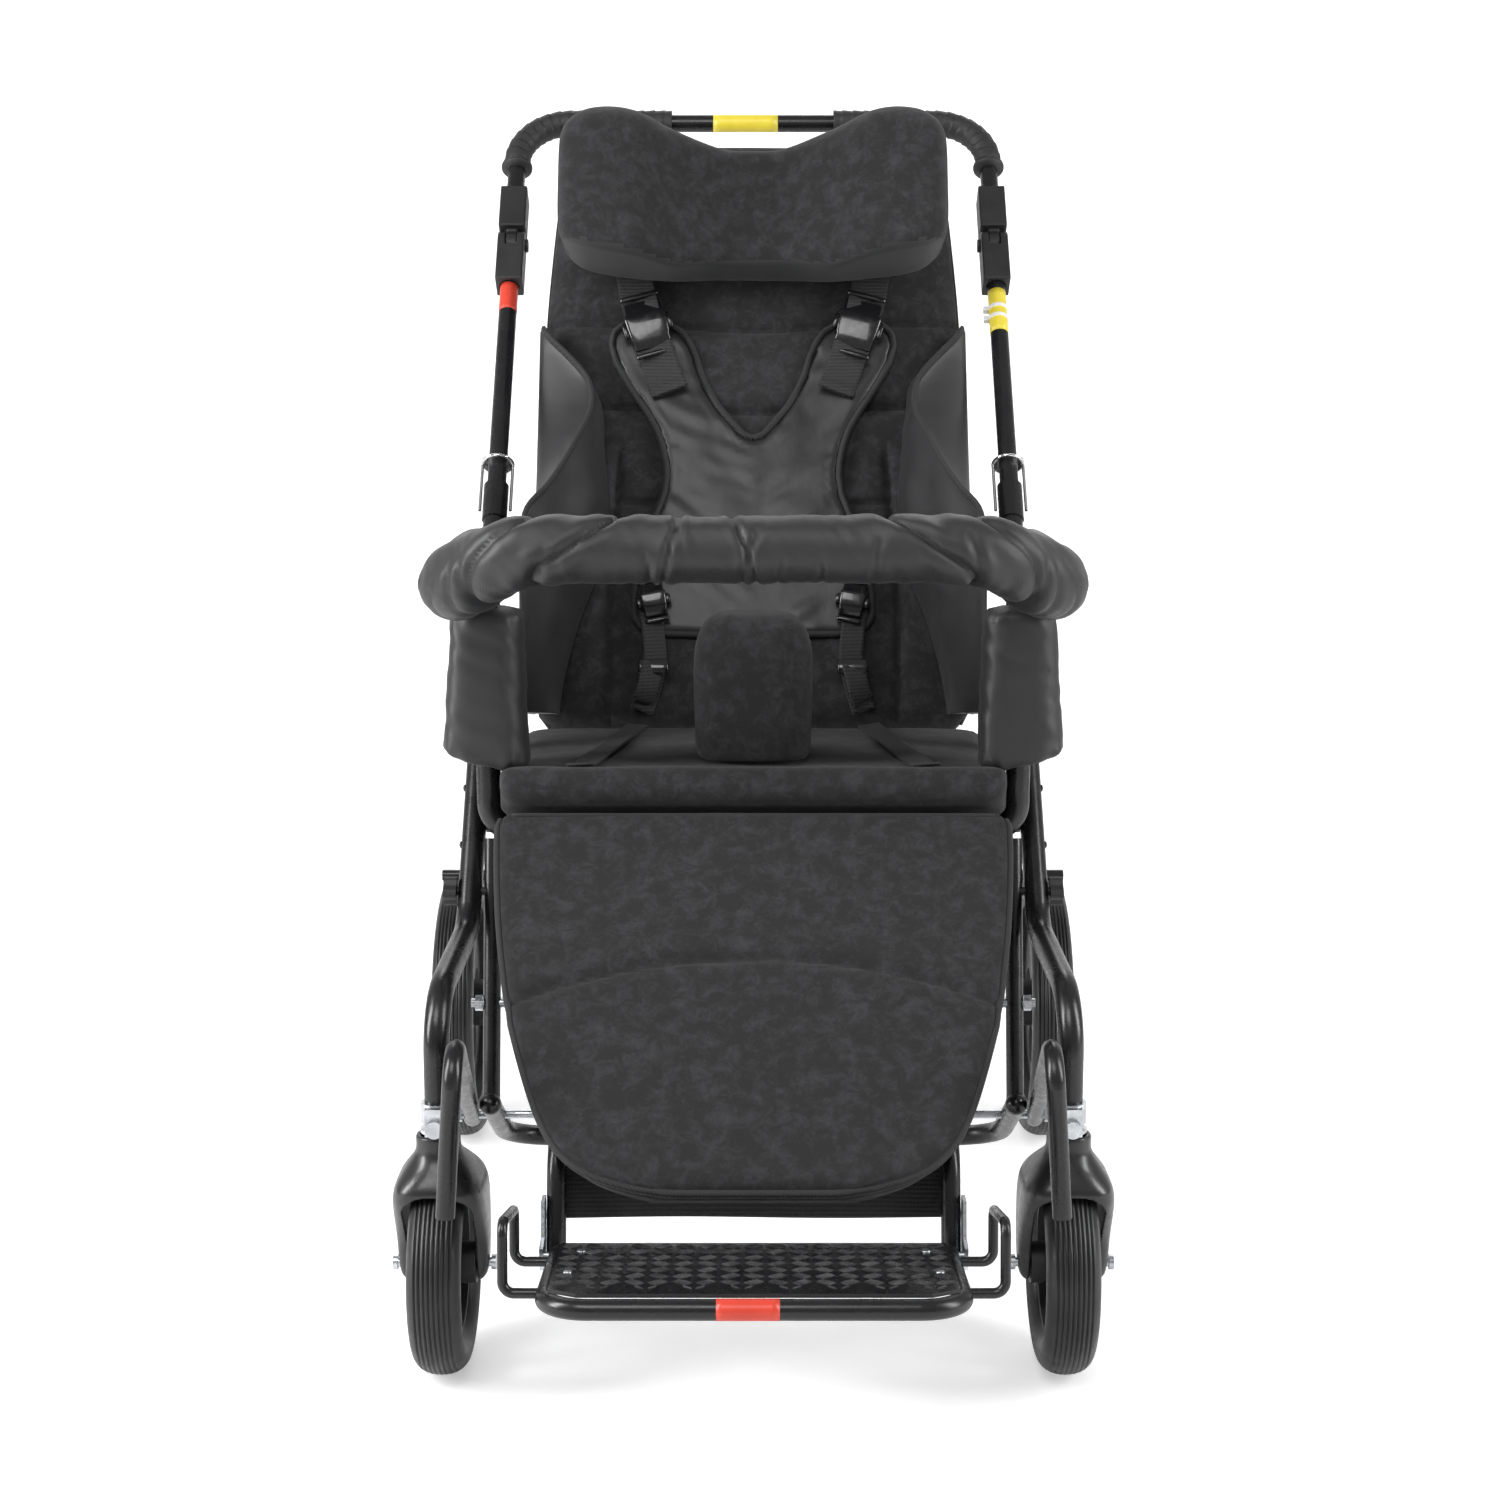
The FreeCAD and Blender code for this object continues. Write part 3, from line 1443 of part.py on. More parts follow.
# Bumper: a bent tube that slides onto the spigots, in a padded sleeve
arm_x = size("frame_half")
arm_z = size("bumper_arm_z")
BUMPER_BENDS = [62.0, 70.0, 70.0, 62.0]


def bumper_route(end_y):
    bar_y = size("bumper_bar_y")
    bar_z = size("bumper_bar_z")
    bar_half = size("bumper_bar_half")
    return route(
        [
            (-arm_x, end_y, arm_z),
            (-arm_x, size("bumper_corner_y"), arm_z),
            (-bar_half, bar_y, bar_z),
            (bar_half, bar_y, bar_z),
            (arm_x, size("bumper_corner_y"), arm_z),
            (arm_x, end_y, arm_z),
        ],
        BUMPER_BENDS,
    )


outer, bore = tube("bumper_run", bumper_route(size("bumper_end_y")), "handle_tube_od")
node(cut("bumper_tube", outer, bore), "bumper_tube")
sleeve_line = bumper_route(size("bumper_sleeve_end_y"))
outer = swept("bumper_sleeve_outer", sleeve_line, "Sizes.bumper_sleeve_od")
bore = swept("bumper_sleeve_bore", sleeve_line, "Sizes.handle_tube_od + 2 * Sizes.fit_gap")
node(cut("bumper_sleeve", outer, bore), "bumper_sleeve")

# Pommel: a domed pad on a stem that drops into the seat frame's socket
pommel_z = SEAT_Z + size("seat_height") + 3.5
pommel_top = pommel_z + size("pommel_height")
pommel_sections = []
for part, width, depth in (
    (0.0, 0.90, 0.88),
    (0.03, 0.97, 0.96),
    (0.10, 1.0, 1.0),
    (0.45, 1.0, 1.0),
    (0.72, 0.95, 0.95),
    (0.86, 0.86, 0.86),
    (0.94, 0.72, 0.72),
    (0.985, 0.5, 0.5),
    (1.0, 0.30, 0.30),
):
    pommel_sections.append(
        rounded_section(
            size("pommel_width") / 2 * width,
            size("pommel_depth") / 2 * depth,
            pommel_z + part * size("pommel_height"),
            30.0 * width,
        )
    )
pommel_blank = formed("pommel_blank", Part.makeLoft(pommel_sections, True, True))
pommel_blank.Placement = Placement(Vector(0, size("pommel_y"), 0), Rotation())
STEM_IN_PAD = 60.0
stem_bottom = RAIL_Z - 24
pommel_hole = rod(
    "pommel_hole",
    "Sizes.pommel_stem_od + 2 * Sizes.fit_gap",
    2 * STEM_IN_PAD + 1,
    (0, size("pommel_y"), pommel_z),
)
node(cut("pommel_pad", pommel_blank, pommel_hole), "pommel_pad")
node(
    rod(
        "pommel_stem",
        "Sizes.pommel_stem_od",
        pommel_z + STEM_IN_PAD - stem_bottom,
        (0, size("pommel_y"), (pommel_z + STEM_IN_PAD + stem_bottom) / 2),
    ),
    "pommel_stem",
)

# Backrest frame: an inverted U tube with two rungs, hinged behind the seat
back_top = size("back_length") - 24
back_line = route(
    [
        tuple(BACK.multVec(Vector(-BACK_TUBE_X, 0, -10))),
        tuple(BACK.multVec(Vector(-BACK_TUBE_X, 0, back_top))),
        tuple(BACK.multVec(Vector(BACK_TUBE_X, 0, back_top))),
        tuple(BACK.multVec(Vector(BACK_TUBE_X, 0, -10))),
    ],
    [50.0] * 2,
)
outer, bore = tube("back_run", back_line, "handle_tube_od")
rungs = [
    rod(f"back_rung_{n}", "Sizes.light_tube_od", 2 * BACK_TUBE_X, (0, 0, u), "x", BACK)
    for n, u in enumerate((0.137 * back_top, 0.5 * back_top, 0.85 * back_top))
]
BOARD_V = HANDLE_R + GAP
panel = block(
    "back_panel",
    (2 * BACK_TUBE_X + 30, "Sizes.back_board_thickness", back_top - 40),
    (0, -(BOARD_V + size("back_board_thickness") / 2 - GAP - 0.2), back_top / 2 + 24),
    BACK,
)
back_holes = [
    rod(
        f"back_tube_hole_{side}",
        "Sizes.small_rod_od + 2 * Sizes.fit_gap",
        40.0,
        (sign * BACK_TUBE_X, 0, 0),
        "x",
        BACK,
    )
    for side, sign in SIDES
]
solid = fuse("back_frame_solid", [outer, panel] + rungs)
node(cut("backrest_frame", solid, fuse("back_frame_hollow", [bore] + back_holes)), "backrest_frame")

# Backrest cushion: crowned, with sewn channels across it and rounded top corners
CUSHION_V = BOARD_V + size("back_board_thickness")
back_len = size("back_length")
back_half = size("back_half")
thick = size("back_thickness")
BACK_STATIONS = (
    (42.0, 0.93, 0.55, 0.60),
    (48.0, 0.97, 0.8, 0.88),
    (60.0, 0.99, 0.86, 0.97),
    (150.0, 1.0, 0.9, 1.0),
    (250.0, 1.0, 0.9, 1.04),
    (352.0, 1.0, 0.9, 1.04),
    (361.0, 1.0, 0.86, 0.90),
    (366.0, 1.0, 0.86, 0.90),
    (375.0, 0.995, 0.9, 1.0),
    (462.0, 0.99, 0.9, 1.0),
    (470.0, 0.99, 0.86, 0.90),
    (475.0, 0.985, 0.86, 0.90),
    (484.0, 0.98, 0.9, 0.98),
    (600.0, 0.95, 0.88, 0.96),
    (640.0, 0.93, 0.86, 0.94),
    (662.0, 0.89, 0.82, 0.9),
    (676.0, 0.83, 0.7, 0.76),
    (682.0, 0.78, 0.45, 0.5),
)
sections = [
    cushion_section(back_half * w, thick * s, thick * c, u * back_len / 682.0)
    for u, w, s, c in BACK_STATIONS
]
cushion = formed("backrest_cushion", Part.makeLoft(sections, True, True))
put(cushion, BACK, (0, -CUSHION_V, 0))
node(cushion, "backrest_cushion")
FACE_V = CUSHION_V + thick * 1.04 + GAP

# Headrest: a contoured pad with two forward wings over a lower lip
head_half = size("head_half")
head_low = size("back_length") - size("head_drop")
head_tall = size("head_height")
HEAD_BACK_V = FACE_V + 14
HEAD_STATIONS = (
    (-1.0, 0.30, 0.78, 30.0, 92.0),
    (-0.97, 0.16, 0.86, 14.0, 104.0),
    (-0.82, 0.10, 0.90, 0.0, 112.0),
    (-0.60, 0.05, 0.90, 0.0, 106.0),
    (-0.36, 0.02, 0.84, 0.0, 78.0),
    (-0.15, 0.0, 0.735, 0.0, 56.0),
    (0.15, 0.0, 0.735, 0.0, 56.0),
    (0.36, 0.02, 0.84, 0.0, 78.0),
    (0.60, 0.05, 0.90, 0.0, 106.0),
    (0.82, 0.10, 0.90, 0.0, 112.0),
    (0.97, 0.16, 0.86, 14.0, 104.0),
    (1.0, 0.30, 0.78, 30.0, 92.0),
)


def head_section(t, low, high, back, front):
    """Side profile of the headrest at one station across it."""
    x = t * head_half
    z0 = head_low + low * head_tall
    z1 = head_low + high * head_tall
    r = min((front - back) * 0.3, (z1 - z0) * 0.3)
    a = Vector(x, -back, z0 + r)
    b = Vector(x, -back, z1 - r)
    c = Vector(x, -back - r * 0.29, z1 - r * 0.29)
    d = Vector(x, -back - r, z1)
    e = Vector(x, -front + r, z1 - 4)
    f = Vector(x, -front + r * 0.29, z1 - 4 - r * 0.29)
    g = Vector(x, -front, z1 - 4 - r)
    h = Vector(x, -front, z0 + 10 + r)
    i = Vector(x, -front + r * 0.29, z0 + 10 + r * 0.29)
    j = Vector(x, -front + r, z0 + 10)
    k = Vector(x, -back - r, z0)
    m = Vector(x, -back - r * 0.29, z0 + r * 0.29)
    return Part.Wire(
        [
            Part.LineSegment(a, b).toShape(),
            Part.Arc(b, c, d).toShape(),
            Part.LineSegment(d, e).toShape(),
            Part.Arc(e, f, g).toShape(),
            Part.LineSegment(g, h).toShape(),
            Part.Arc(h, i, j).toShape(),
            Part.LineSegment(j, k).toShape(),
            Part.Arc(k, m, a).toShape(),
        ]
    )


headrest = formed(
    "headrest_pad", Part.makeLoft([head_section(*s) for s in HEAD_STATIONS], True, True)
)
put(headrest, BACK, (0, -HEAD_BACK_V, 0))
node(headrest, "headrest_pad")
BRACKET_V = CUSHION_V + thick * 0.975 + GAP
bracket = block(
    "headrest_bracket",
    (90.0, HEAD_BACK_V - BRACKET_V - GAP, 90.0),
    (0, -(HEAD_BACK_V - GAP + BRACKET_V) / 2, head_low + head_tall * 0.45),
    BACK,
)
node(bracket, "headrest_bracket")

# Side wings: cloth bolsters along the backrest's edges, folded forward to a free edge that leans
# inward, with an inner panel that laps over the backrest's face
wing_x = back_half + size("wing_gap")
WING_CREASE = FACE_V - 3
WING_FLOOR = size("pad_bottom_z") - 3
# The wings end just above the seat when the backrest is folded up by ten degrees
UPRIGHT_SEAT = Placement(Vector(0, size("back_y"), size("back_z")), Rotation(Vector(1, 0, 0), -10))
WING_STATIONS = (
    (-120.0, 1.0, 186.0, 0.90),
    (92.0, 1.0, 186.0, 0.86),
    (170.0, 1.015, 185.0, 0.75),
    (208.0, 1.0, 176.0, 0.69),
    (240.0, 0.915, 160.0, 0.66),
    (276.0, 0.84, 142.0, 0.665),
    (308.0, 0.79, 125.0, 0.675),
    (335.0, 0.755, 108.0, 0.685),
    (363.0, 0.745, 92.0, 0.705),
    (390.0, 0.78, 80.0, 0.75),
    (418.0, 0.87, 70.0, 0.84),
    (440.0, 0.955, 64.0, 0.92),
    (454.0, 0.99, 60.0, 0.965),
)
wings = []
for side, sign in SIDES:
    sections = []
    for u, lean, reach, lap in WING_STATIONS:
        t = size("wing_thickness")
        outline = [
            (wing_x, 16.0),
            (wing_x + t, 16.0),
            (wing_x + t, WING_CREASE),
            (wing_x * lean + t, reach),
            (wing_x * lean, reach + 1),
            (wing_x * lap, FACE_V),
            (wing_x, FACE_V),
        ]
        ring = [Vector(sign * x, -v, u) for x, v in outline]
        sections.append(Part.makePolygon(ring + ring[:1]))
    shell = formed(f"side_wing_{side}_form", Part.makeLoft(sections, True, True))
    put(shell, BACK, (0, 0, 0))
    below = block(
        f"side_wing_{side}_floor",
        (200.0, 700.0, 200.0),
        (sign * 200, -50, WING_FLOOR - size("back_z") - 100),
        UPRIGHT_SEAT,
    )
    wings.append(cut(f"side_wing_{side}", shell, below))
node(group("side_wings", wings), "side_wings")

# Harness: a padded vest, its webbing straps and buckles, on the face of the backrest
VEST_T = 6.0
VEST_HALF = [
    (64.0, 440.0),
    (72.0, 446.0),
    (140.0, 446.0),
    (148.0, 436.0),
    (120.0, 385.0),
    (97.0, 341.0),
    (88.0, 296.0),
    (96.0, 252.0),
    (110.0, 225.0),
    (118.0, 190.0),
    (122.0, 140.0),
    (112.0, 122.0),
    (70.0, 118.0),
]
vest_outline = VEST_HALF + [(-x, u) for x, u in reversed(VEST_HALF)]
vest_outline += [(-64.0, 430.0), (0.0, 333.0), (64.0, 430.0)]
vest = formed("harness_vest", plate(vest_outline, VEST_T, "y"))
put(vest, BACK, (0, -(FACE_V + VEST_T / 2), 0))
node(vest, "harness_vest")
STRAP_T = 2.4
BUCKLE_U = 456.0
STRAP_X = 117.0
straps = []
buckles = []
for side, sign in SIDES:
    upper = block(
        f"shoulder_strap_{side}",
        (38.0, STRAP_T, 82.0),
        (sign * 118.0, -(FACE_V + VEST_T - STRAP_T / 2), 446.0 + GAP + 41.0),
        BACK,
    )
    tail = block(
        f"shoulder_tail_{side}",
        (36.0, STRAP_T, 62.0),
        (sign * 102.0, -(FACE_V + VEST_T + GAP + STRAP_T / 2), 398.0),
        BACK,
    )
    lower = formed(
        f"hip_strap_{side}",
        plate([(78.0, 118.4), (104.0, 120.9), (160.0, 60.0), (140.0, 50.0)], STRAP_T, "y"),
    )
    if sign < 0:
        lower.Shape = lower.Shape.mirror(Vector(0, 0, 0), Vector(1, 0, 0))
    put(lower, BACK, (0, -(FACE_V + STRAP_T / 2), 0))
    straps += [upper, tail, lower]
    buckle = block(
        f"shoulder_buckle_{side}",
        (44.0, 11.0, 50.0),
        (sign * STRAP_X, -(FACE_V + VEST_T + GAP + 5.5), BUCKLE_U),
        BACK,
    )
    adjuster = block(
        f"hip_buckle_{side}",
        (30.0, 9.0, 26.0),
        (sign * 96.0, -(FACE_V + VEST_T + GAP + 4.5), 146.0),
        BACK,
    )
    buckles += [buckle, adjuster]
node(group("harness_straps", straps), "harness_straps")
node(group("harness_buckles", buckles), "harness_buckles")

# Legrest frame: two bent tubes hinged at the seat's front, joined by a rung
calf_n = size("calf_thickness") / 2
tube_n = calf_n + GAP + LIGHT_R
legs = []
leg_bores = []
foot_z = size("plate_z") - 10
foot_y = size("plate_y") + 20
leg_knee = LEG.multVec(Vector(0, tube_n, -(size("calf_length") - 52)))
for side, sign in SIDES:
    x = sign * LEG_TUBE_X
    line = route(
        [
            tuple(LEG.multVec(Vector(x, tube_n, -12))),
            (x, leg_knee.y, leg_knee.z),
            (x, foot_y, foot_z),
        ],
        [45.0],
    )
    outer, bore = tube(f"leg_tube_{side}", line, "light_tube_od")
    boss = formed(
        f"leg_boss_{side}",
        plate(
            [(-9, -6), (4, -26), (tube_n, -26), (tube_n, -11), (4, 9), (-5, 9), (-9, 4)],
            2 * LIGHT_R,
        ),
    )
    put(boss, LEG, (x, 0, 0))
    legs += [outer, boss]
    leg_bores.append(bore)
    leg_bores.append(
        rod(
            f"leg_hinge_hole_{side}",
            "Sizes.small_rod_od + 2 * Sizes.fit_gap",
            40.0,
            (x, 0, 0),
            "x",
            LEG,
        )
    )
leg_rung = rod(
    "leg_rung",
    "Sizes.light_tube_od",
    2 * LEG_TUBE_X,
    (0, tube_n, -(size("calf_length") - 120)),
    "x",
    LEG,
)
solid = fuse("legrest_solid", legs + [leg_rung])
node(cut("legrest_frame", solid, fuse("legrest_hollow", leg_bores)), "legrest_frame")

# Calf pad: a crowned panel that narrows to a rounded foot
calf_len = size("calf_length")
calf_half = size("calf_half")
CALF_STATIONS = (
    (-9.0, 0.955, 0.45, 0.48),
    (-4.0, 0.985, 0.8, 0.84),
    (10.0, 1.0, 0.92, 0.98),
    (100.0, 0.965, 0.92, 1.06),
    (184.0, 0.91, 0.92, 1.04),
    (198.0, 0.90, 0.88, 0.93),
    (212.0, 0.885, 0.92, 1.04),
    (278.0, 0.80, 0.92, 1.04),
    (320.0, 0.735, 0.9, 1.0),
    (345.0, 0.665, 0.86, 0.94),
    (362.0, 0.57, 0.78, 0.86),
    (374.0, 0.42, 0.45, 0.5),
)
sections = [
    cushion_section(
        calf_half * w,
        size("calf_thickness") * s,
        size("calf_thickness") * c,
        -down * calf_len / 374.0,
    )
    for down, w, s, c in CALF_STATIONS
]
calf_blank = formed("calf_pad_blank", Part.makeLoft(sections, True, True))
put(calf_blank, LEG, (0, calf_n, 0))
boss_room = [
    block(
        f"calf_boss_room_{side}",
        (2 * LIGHT_R + LUG + 8, 60.0, 48.0),
        (sign * (LEG_TUBE_X + LUG / 2 + 1), 18.0, -8.0),
        LEG,
    )
    for side, sign in SIDES
]
node(cut("calf_pad", calf_blank, fuse("calf_pad_room", boss_room)), "calf_pad")

# Heel strap: a webbing band between the legs, below the calf pad
BAND_TOP = 225.0
BAND_LOW = 182.0
band_y = foot_y - LIGHT_R - 2.6
heel = doc.addObject("Part::Box", "heel_strap_band")
heel.Length = 2 * (LEG_TUBE_X + LIGHT_R - 1)
heel.Width = STRAP_T
heel.Height = BAND_TOP - BAND_LOW
leg_way = Vector(0, foot_y - leg_knee.y, foot_z - leg_knee.z)
leg_slope = math.degrees(math.atan2(leg_way.y, leg_way.z) - math.pi)
band_mid_z = (BAND_TOP + BAND_LOW) / 2
band_axis_y = foot_y + (band_mid_z - foot_z) * leg_way.y / leg_way.z
put(
    heel,
    Placement(Vector(0, band_axis_y, band_mid_z), Rotation(Vector(1, 0, 0), -leg_slope)),
    (-heel.Length.Value / 2, -LIGHT_R - GAP - STRAP_T, -(BAND_TOP - BAND_LOW) / 2),
)
node(heel, "heel_strap")

# Foot brackets: zinc plates bolted to the legs, with the footplate's hinge pins
BRACKET_T = 3.0
bracket_x = LEG_TUBE_X + LIGHT_R + GAP + BRACKET_T / 2
brackets = []
for side, sign in SIDES:
    outline = [
        (size("plate_y") - 9, size("plate_z") - 9),
        (size("plate_y") + 26, size("plate_z") - 12),
        (size("plate_y") + 34, size("plate_z") + 4),
        (size("plate_y") + 30, size("plate_z") + 40),
        (size("plate_y") + 14, size("plate_z") + 40),
        (size("plate_y") + 8, size("plate_z") + 12),
        (size("plate_y") - 9, size("plate_z") + 9),
    ]
    flat = formed(f"foot_bracket_plate_{side}", plate(outline, BRACKET_T))
    flat.Placement = Placement(Vector(sign * bracket_x, 0, 0), Rotation())
    pin = rod(
        f"foot_pin_{side}",
        6.0,
        2 * LIGHT_R + 6,
        (sign * (bracket_x - LIGHT_R - 1), size("plate_y"), size("plate_z")),
        "x",
    )
    brackets.append(fuse(f"foot_bracket_{side}", [flat, pin]))
node(group("foot_brackets", brackets), "foot_brackets")

# Footplate frame: a U tube with a hoop welded to each side
plate_reach = size("plate_length")
rail_x = LEG_TUBE_X - 3.5
plate_line = route(
    [
        tuple(PLATE.multVec(Vector(-rail_x, 4, 0))),
        tuple(PLATE.multVec(Vector(-rail_x, -plate_reach, 0))),
        tuple(PLATE.multVec(Vector(rail_x, -plate_reach, 0))),
        tuple(PLATE.multVec(Vector(rail_x, 4, 0))),
    ],
    [size("plate_bend")] * 2,
)
outer = swept("footplate_run", plate_line, "Sizes.light_tube_od")
HOOP_D = 8.0
HOOP_FRONT = 112.0
HOOP_REAR = 19.0
hoops = []
for side, sign in SIDES:
    hoop_x = sign * size("hoop_half")
    rail = sign * rail_x
    points = [
        (rail, -HOOP_FRONT, 0),
        (hoop_x, -HOOP_FRONT, 0),
        (hoop_x, -HOOP_FRONT, 54),
        (hoop_x, -HOOP_REAR, 42),
        (hoop_x, -HOOP_REAR, 0),
        (rail, -HOOP_REAR, 0),
    ]
    line = route([tuple(PLATE.multVec(Vector(*p))) for p in points], [9.0] * 4)
    hoops.append(swept(f"footplate_hoop_{side}", line, f"{HOOP_D}"))
pin_holes = [
    rod(
        f"footplate_pin_hole_{side}",
        6.0 + 2 * size("fit_gap"),
        2 * LIGHT_R + 8,
        (sign * (rail_x + 1), 0, 0),
        "x",
        PLATE,
    )
    for side, sign in SIDES
]
inner = swept("footplate_bore", plate_line, "Sizes.light_tube_od - 2 * Sizes.tube_wall")
solid = fuse("footplate_solid", [outer] + hoops)
node(cut("footplate_frame", solid, fuse("footplate_hollow", [inner] + pin_holes)), "footplate_frame")

# Tread: a sheet with raised bars in alternating groups, riveted on the frame
tread_w = 2 * rail_x - 6
tread_l = plate_reach - 16
tread_z = LIGHT_R + GAP + size("tread_thickness") / 2
tread_sheet = plate(
    [
        (-tread_w / 2, -tread_l),
        (-tread_w / 2 + 22, -tread_l - 14),
        (tread_w / 2 - 22, -tread_l - 14),
        (tread_w / 2, -tread_l),
        (tread_w / 2, -4),
        (-tread_w / 2, -4),
    ],
    size("tread_thickness"),
    "z",
)
node(put(formed("footplate_tread", tread_sheet), PLATE, (0, 0, tread_z)), "footplate_tread")

# Check every object before writing anything
doc.recompute()
for obj in doc.Objects:
    if "Invalid" in obj.State or "Error" in obj.State:
        raise RuntimeError(f"{obj.Label} failed: {obj.State}")
for obj in nodes:
    shape = obj.Shape
    if shape.isNull() or not shape.isValid() or not shape.Solids:
        raise RuntimeError(f"{obj.Label} has no valid solid")
if len({obj.Label for obj in nodes}) != len(nodes):
    raise RuntimeError("two sub-parts share a name")

os.makedirs("parts", exist_ok=True)
whole = FreeCAD.BoundBox()
for obj in nodes:
    whole.add(obj.Shape.BoundBox)
    obj.Shape.exportStep(os.path.join("parts", obj.Label + ".step"))
print(len(nodes), "sub-parts")
print("box", whole)
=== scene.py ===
import math
import bmesh
import bpy
from mathutils import Matrix, Vector, noise
from mathutils.geometry import delaunay_2d_cdt


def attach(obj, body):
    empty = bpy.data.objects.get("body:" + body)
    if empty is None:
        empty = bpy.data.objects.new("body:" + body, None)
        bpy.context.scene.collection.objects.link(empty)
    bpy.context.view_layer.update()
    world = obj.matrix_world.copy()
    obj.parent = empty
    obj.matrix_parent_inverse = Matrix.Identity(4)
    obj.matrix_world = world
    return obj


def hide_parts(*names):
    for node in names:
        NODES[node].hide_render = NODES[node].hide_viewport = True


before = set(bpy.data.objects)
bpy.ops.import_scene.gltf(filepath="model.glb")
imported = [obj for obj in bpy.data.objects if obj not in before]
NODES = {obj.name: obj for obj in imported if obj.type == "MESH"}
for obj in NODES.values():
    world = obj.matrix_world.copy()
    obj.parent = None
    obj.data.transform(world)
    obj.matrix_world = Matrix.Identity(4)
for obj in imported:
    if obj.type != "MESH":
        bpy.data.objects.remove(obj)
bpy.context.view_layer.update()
bpy.context.scene.view_settings.view_transform = "Standard"

# Camera and studio
# The photograph was taken from chest height, straight in front, tilted ten degrees down.
# A pale sweep of paper runs under the stroller and up behind it, lit by large soft boxes.
camera = bpy.data.objects.new("camera", bpy.data.cameras.new("camera"))
bpy.context.scene.collection.objects.link(camera)
camera.location = (-0.003, -2.209, 0.894)
camera.rotation_euler = (math.radians(80), 0, 0)
SENSOR_MM, FOCAL_PIXELS, PHOTO_PIXELS = 36, 2390, 1500
camera.data.lens = SENSOR_MM * FOCAL_PIXELS / PHOTO_PIXELS
camera.data.clip_end = 60
bpy.context.scene.camera = camera


def nodes_of(mat):
    """The node list, link list and main shader of a material."""
    return mat.node_tree.nodes, mat.node_tree.links, mat.node_tree.nodes["Principled BSDF"]


def finish(name, colour, rough, metal=0.0, **sockets):
    """A new material with a plain base colour and shine."""
    mat = bpy.data.materials.new(name)
    mat.use_nodes = True
    _, _, shader = nodes_of(mat)
    shader.inputs["Base Color"].default_value = (*colour, 1)
    shader.inputs["Roughness"].default_value = rough
    shader.inputs["Metallic"].default_value = metal
    for socket, value in sockets.items():
        shader.inputs[socket.replace("_", " ")].default_value = value
    return mat


def mesh_piece(name, verts, faces, mat, smooth=True):
    """A new mesh object from points in millimetres."""
    data = bpy.data.meshes.new(name)
    data.from_pydata([Vector(v) * 0.001 for v in verts], [], faces)
    data.validate()
    obj = bpy.data.objects.new(name, data)
    bpy.context.scene.collection.objects.link(obj)
    data.materials.append(mat)
    work = bmesh.new()
    work.from_mesh(data)
    bmesh.ops.remove_doubles(work, verts=work.verts, dist=1e-6)
    bmesh.ops.recalc_face_normals(work, faces=work.faces)
    loose = [v for v in work.verts if not v.link_faces]
    bmesh.ops.delete(work, geom=loose, context="VERTS")
    work.to_mesh(data)
    work.free()
    data.shade_smooth() if smooth else data.shade_flat()
    return obj


paper = finish("studio_paper", (0.93, 0.93, 0.93), 0.75)
tree, links, shader = nodes_of(paper)
rays = tree.new("ShaderNodeLightPath")
lift = tree.new("ShaderNodeMath")
lift.operation = "MULTIPLY"
lift.inputs[1].default_value = 0.36
links.new(rays.outputs["Is Camera Ray"], lift.inputs[0])
shader.inputs["Emission Color"].default_value = (1, 1, 1, 1)
links.new(lift.outputs[0], shader.inputs["Emission Strength"])
sweep = [(-6000, 0), (1800, 0), (2300, 30), (2750, 200), (3050, 520), (3150, 1000), (3150, 5200)]
sweep_points = [(x, y, z) for x in (-6000, 6000) for y, z in sweep]
sweep_faces = [(n, n + 1, n + 8, n + 7) for n in range(6)]
backdrop = mesh_piece("studio_sweep", sweep_points, sweep_faces, paper)
world = bpy.data.worlds.new("studio")
bpy.context.scene.world = world
world.use_nodes = True
world.node_tree.nodes["Background"].inputs["Color"].default_value = (1, 1, 1, 1)
backlight = world.node_tree.nodes["Background"].inputs["Strength"]
seen = world.node_tree.nodes.new("ShaderNodeLightPath")
glow = world.node_tree.nodes.new("ShaderNodeMapRange")
glow.inputs["To Min"].default_value = 0.33
glow.inputs["To Max"].default_value = 1.0
world.node_tree.links.new(seen.outputs["Is Camera Ray"], glow.inputs["Value"])
world.node_tree.links.new(glow.outputs["Result"], backlight)
for name, place, aim, width, height, power in (
    ("top_box", (-0.6, -2.2, 2.7), (0, 0, 0.7), 1.6, 1.2, 34),
    ("left_box", (-2.5, -0.8, 1.5), (0, 0, 0.6), 0.8, 2.0, 84),
    ("right_box", (2.5, -0.8, 1.5), (0, 0, 0.6), 0.8, 2.0, 56),
    ("back_box", (0, 2.4, 2.6), (0, 0.2, 0.6), 2.4, 1.2, 24),
):
    light = bpy.data.lights.new(name, "AREA")
    light.shape = "RECTANGLE"
    light.size, light.size_y, light.energy = width, height, power
    lamp = bpy.data.objects.new(name, light)
    bpy.context.scene.collection.objects.link(lamp)
    lamp.location = place
    lamp.rotation_euler = (Vector(aim) - Vector(place)).to_track_quat("-Z", "Y").to_euler()


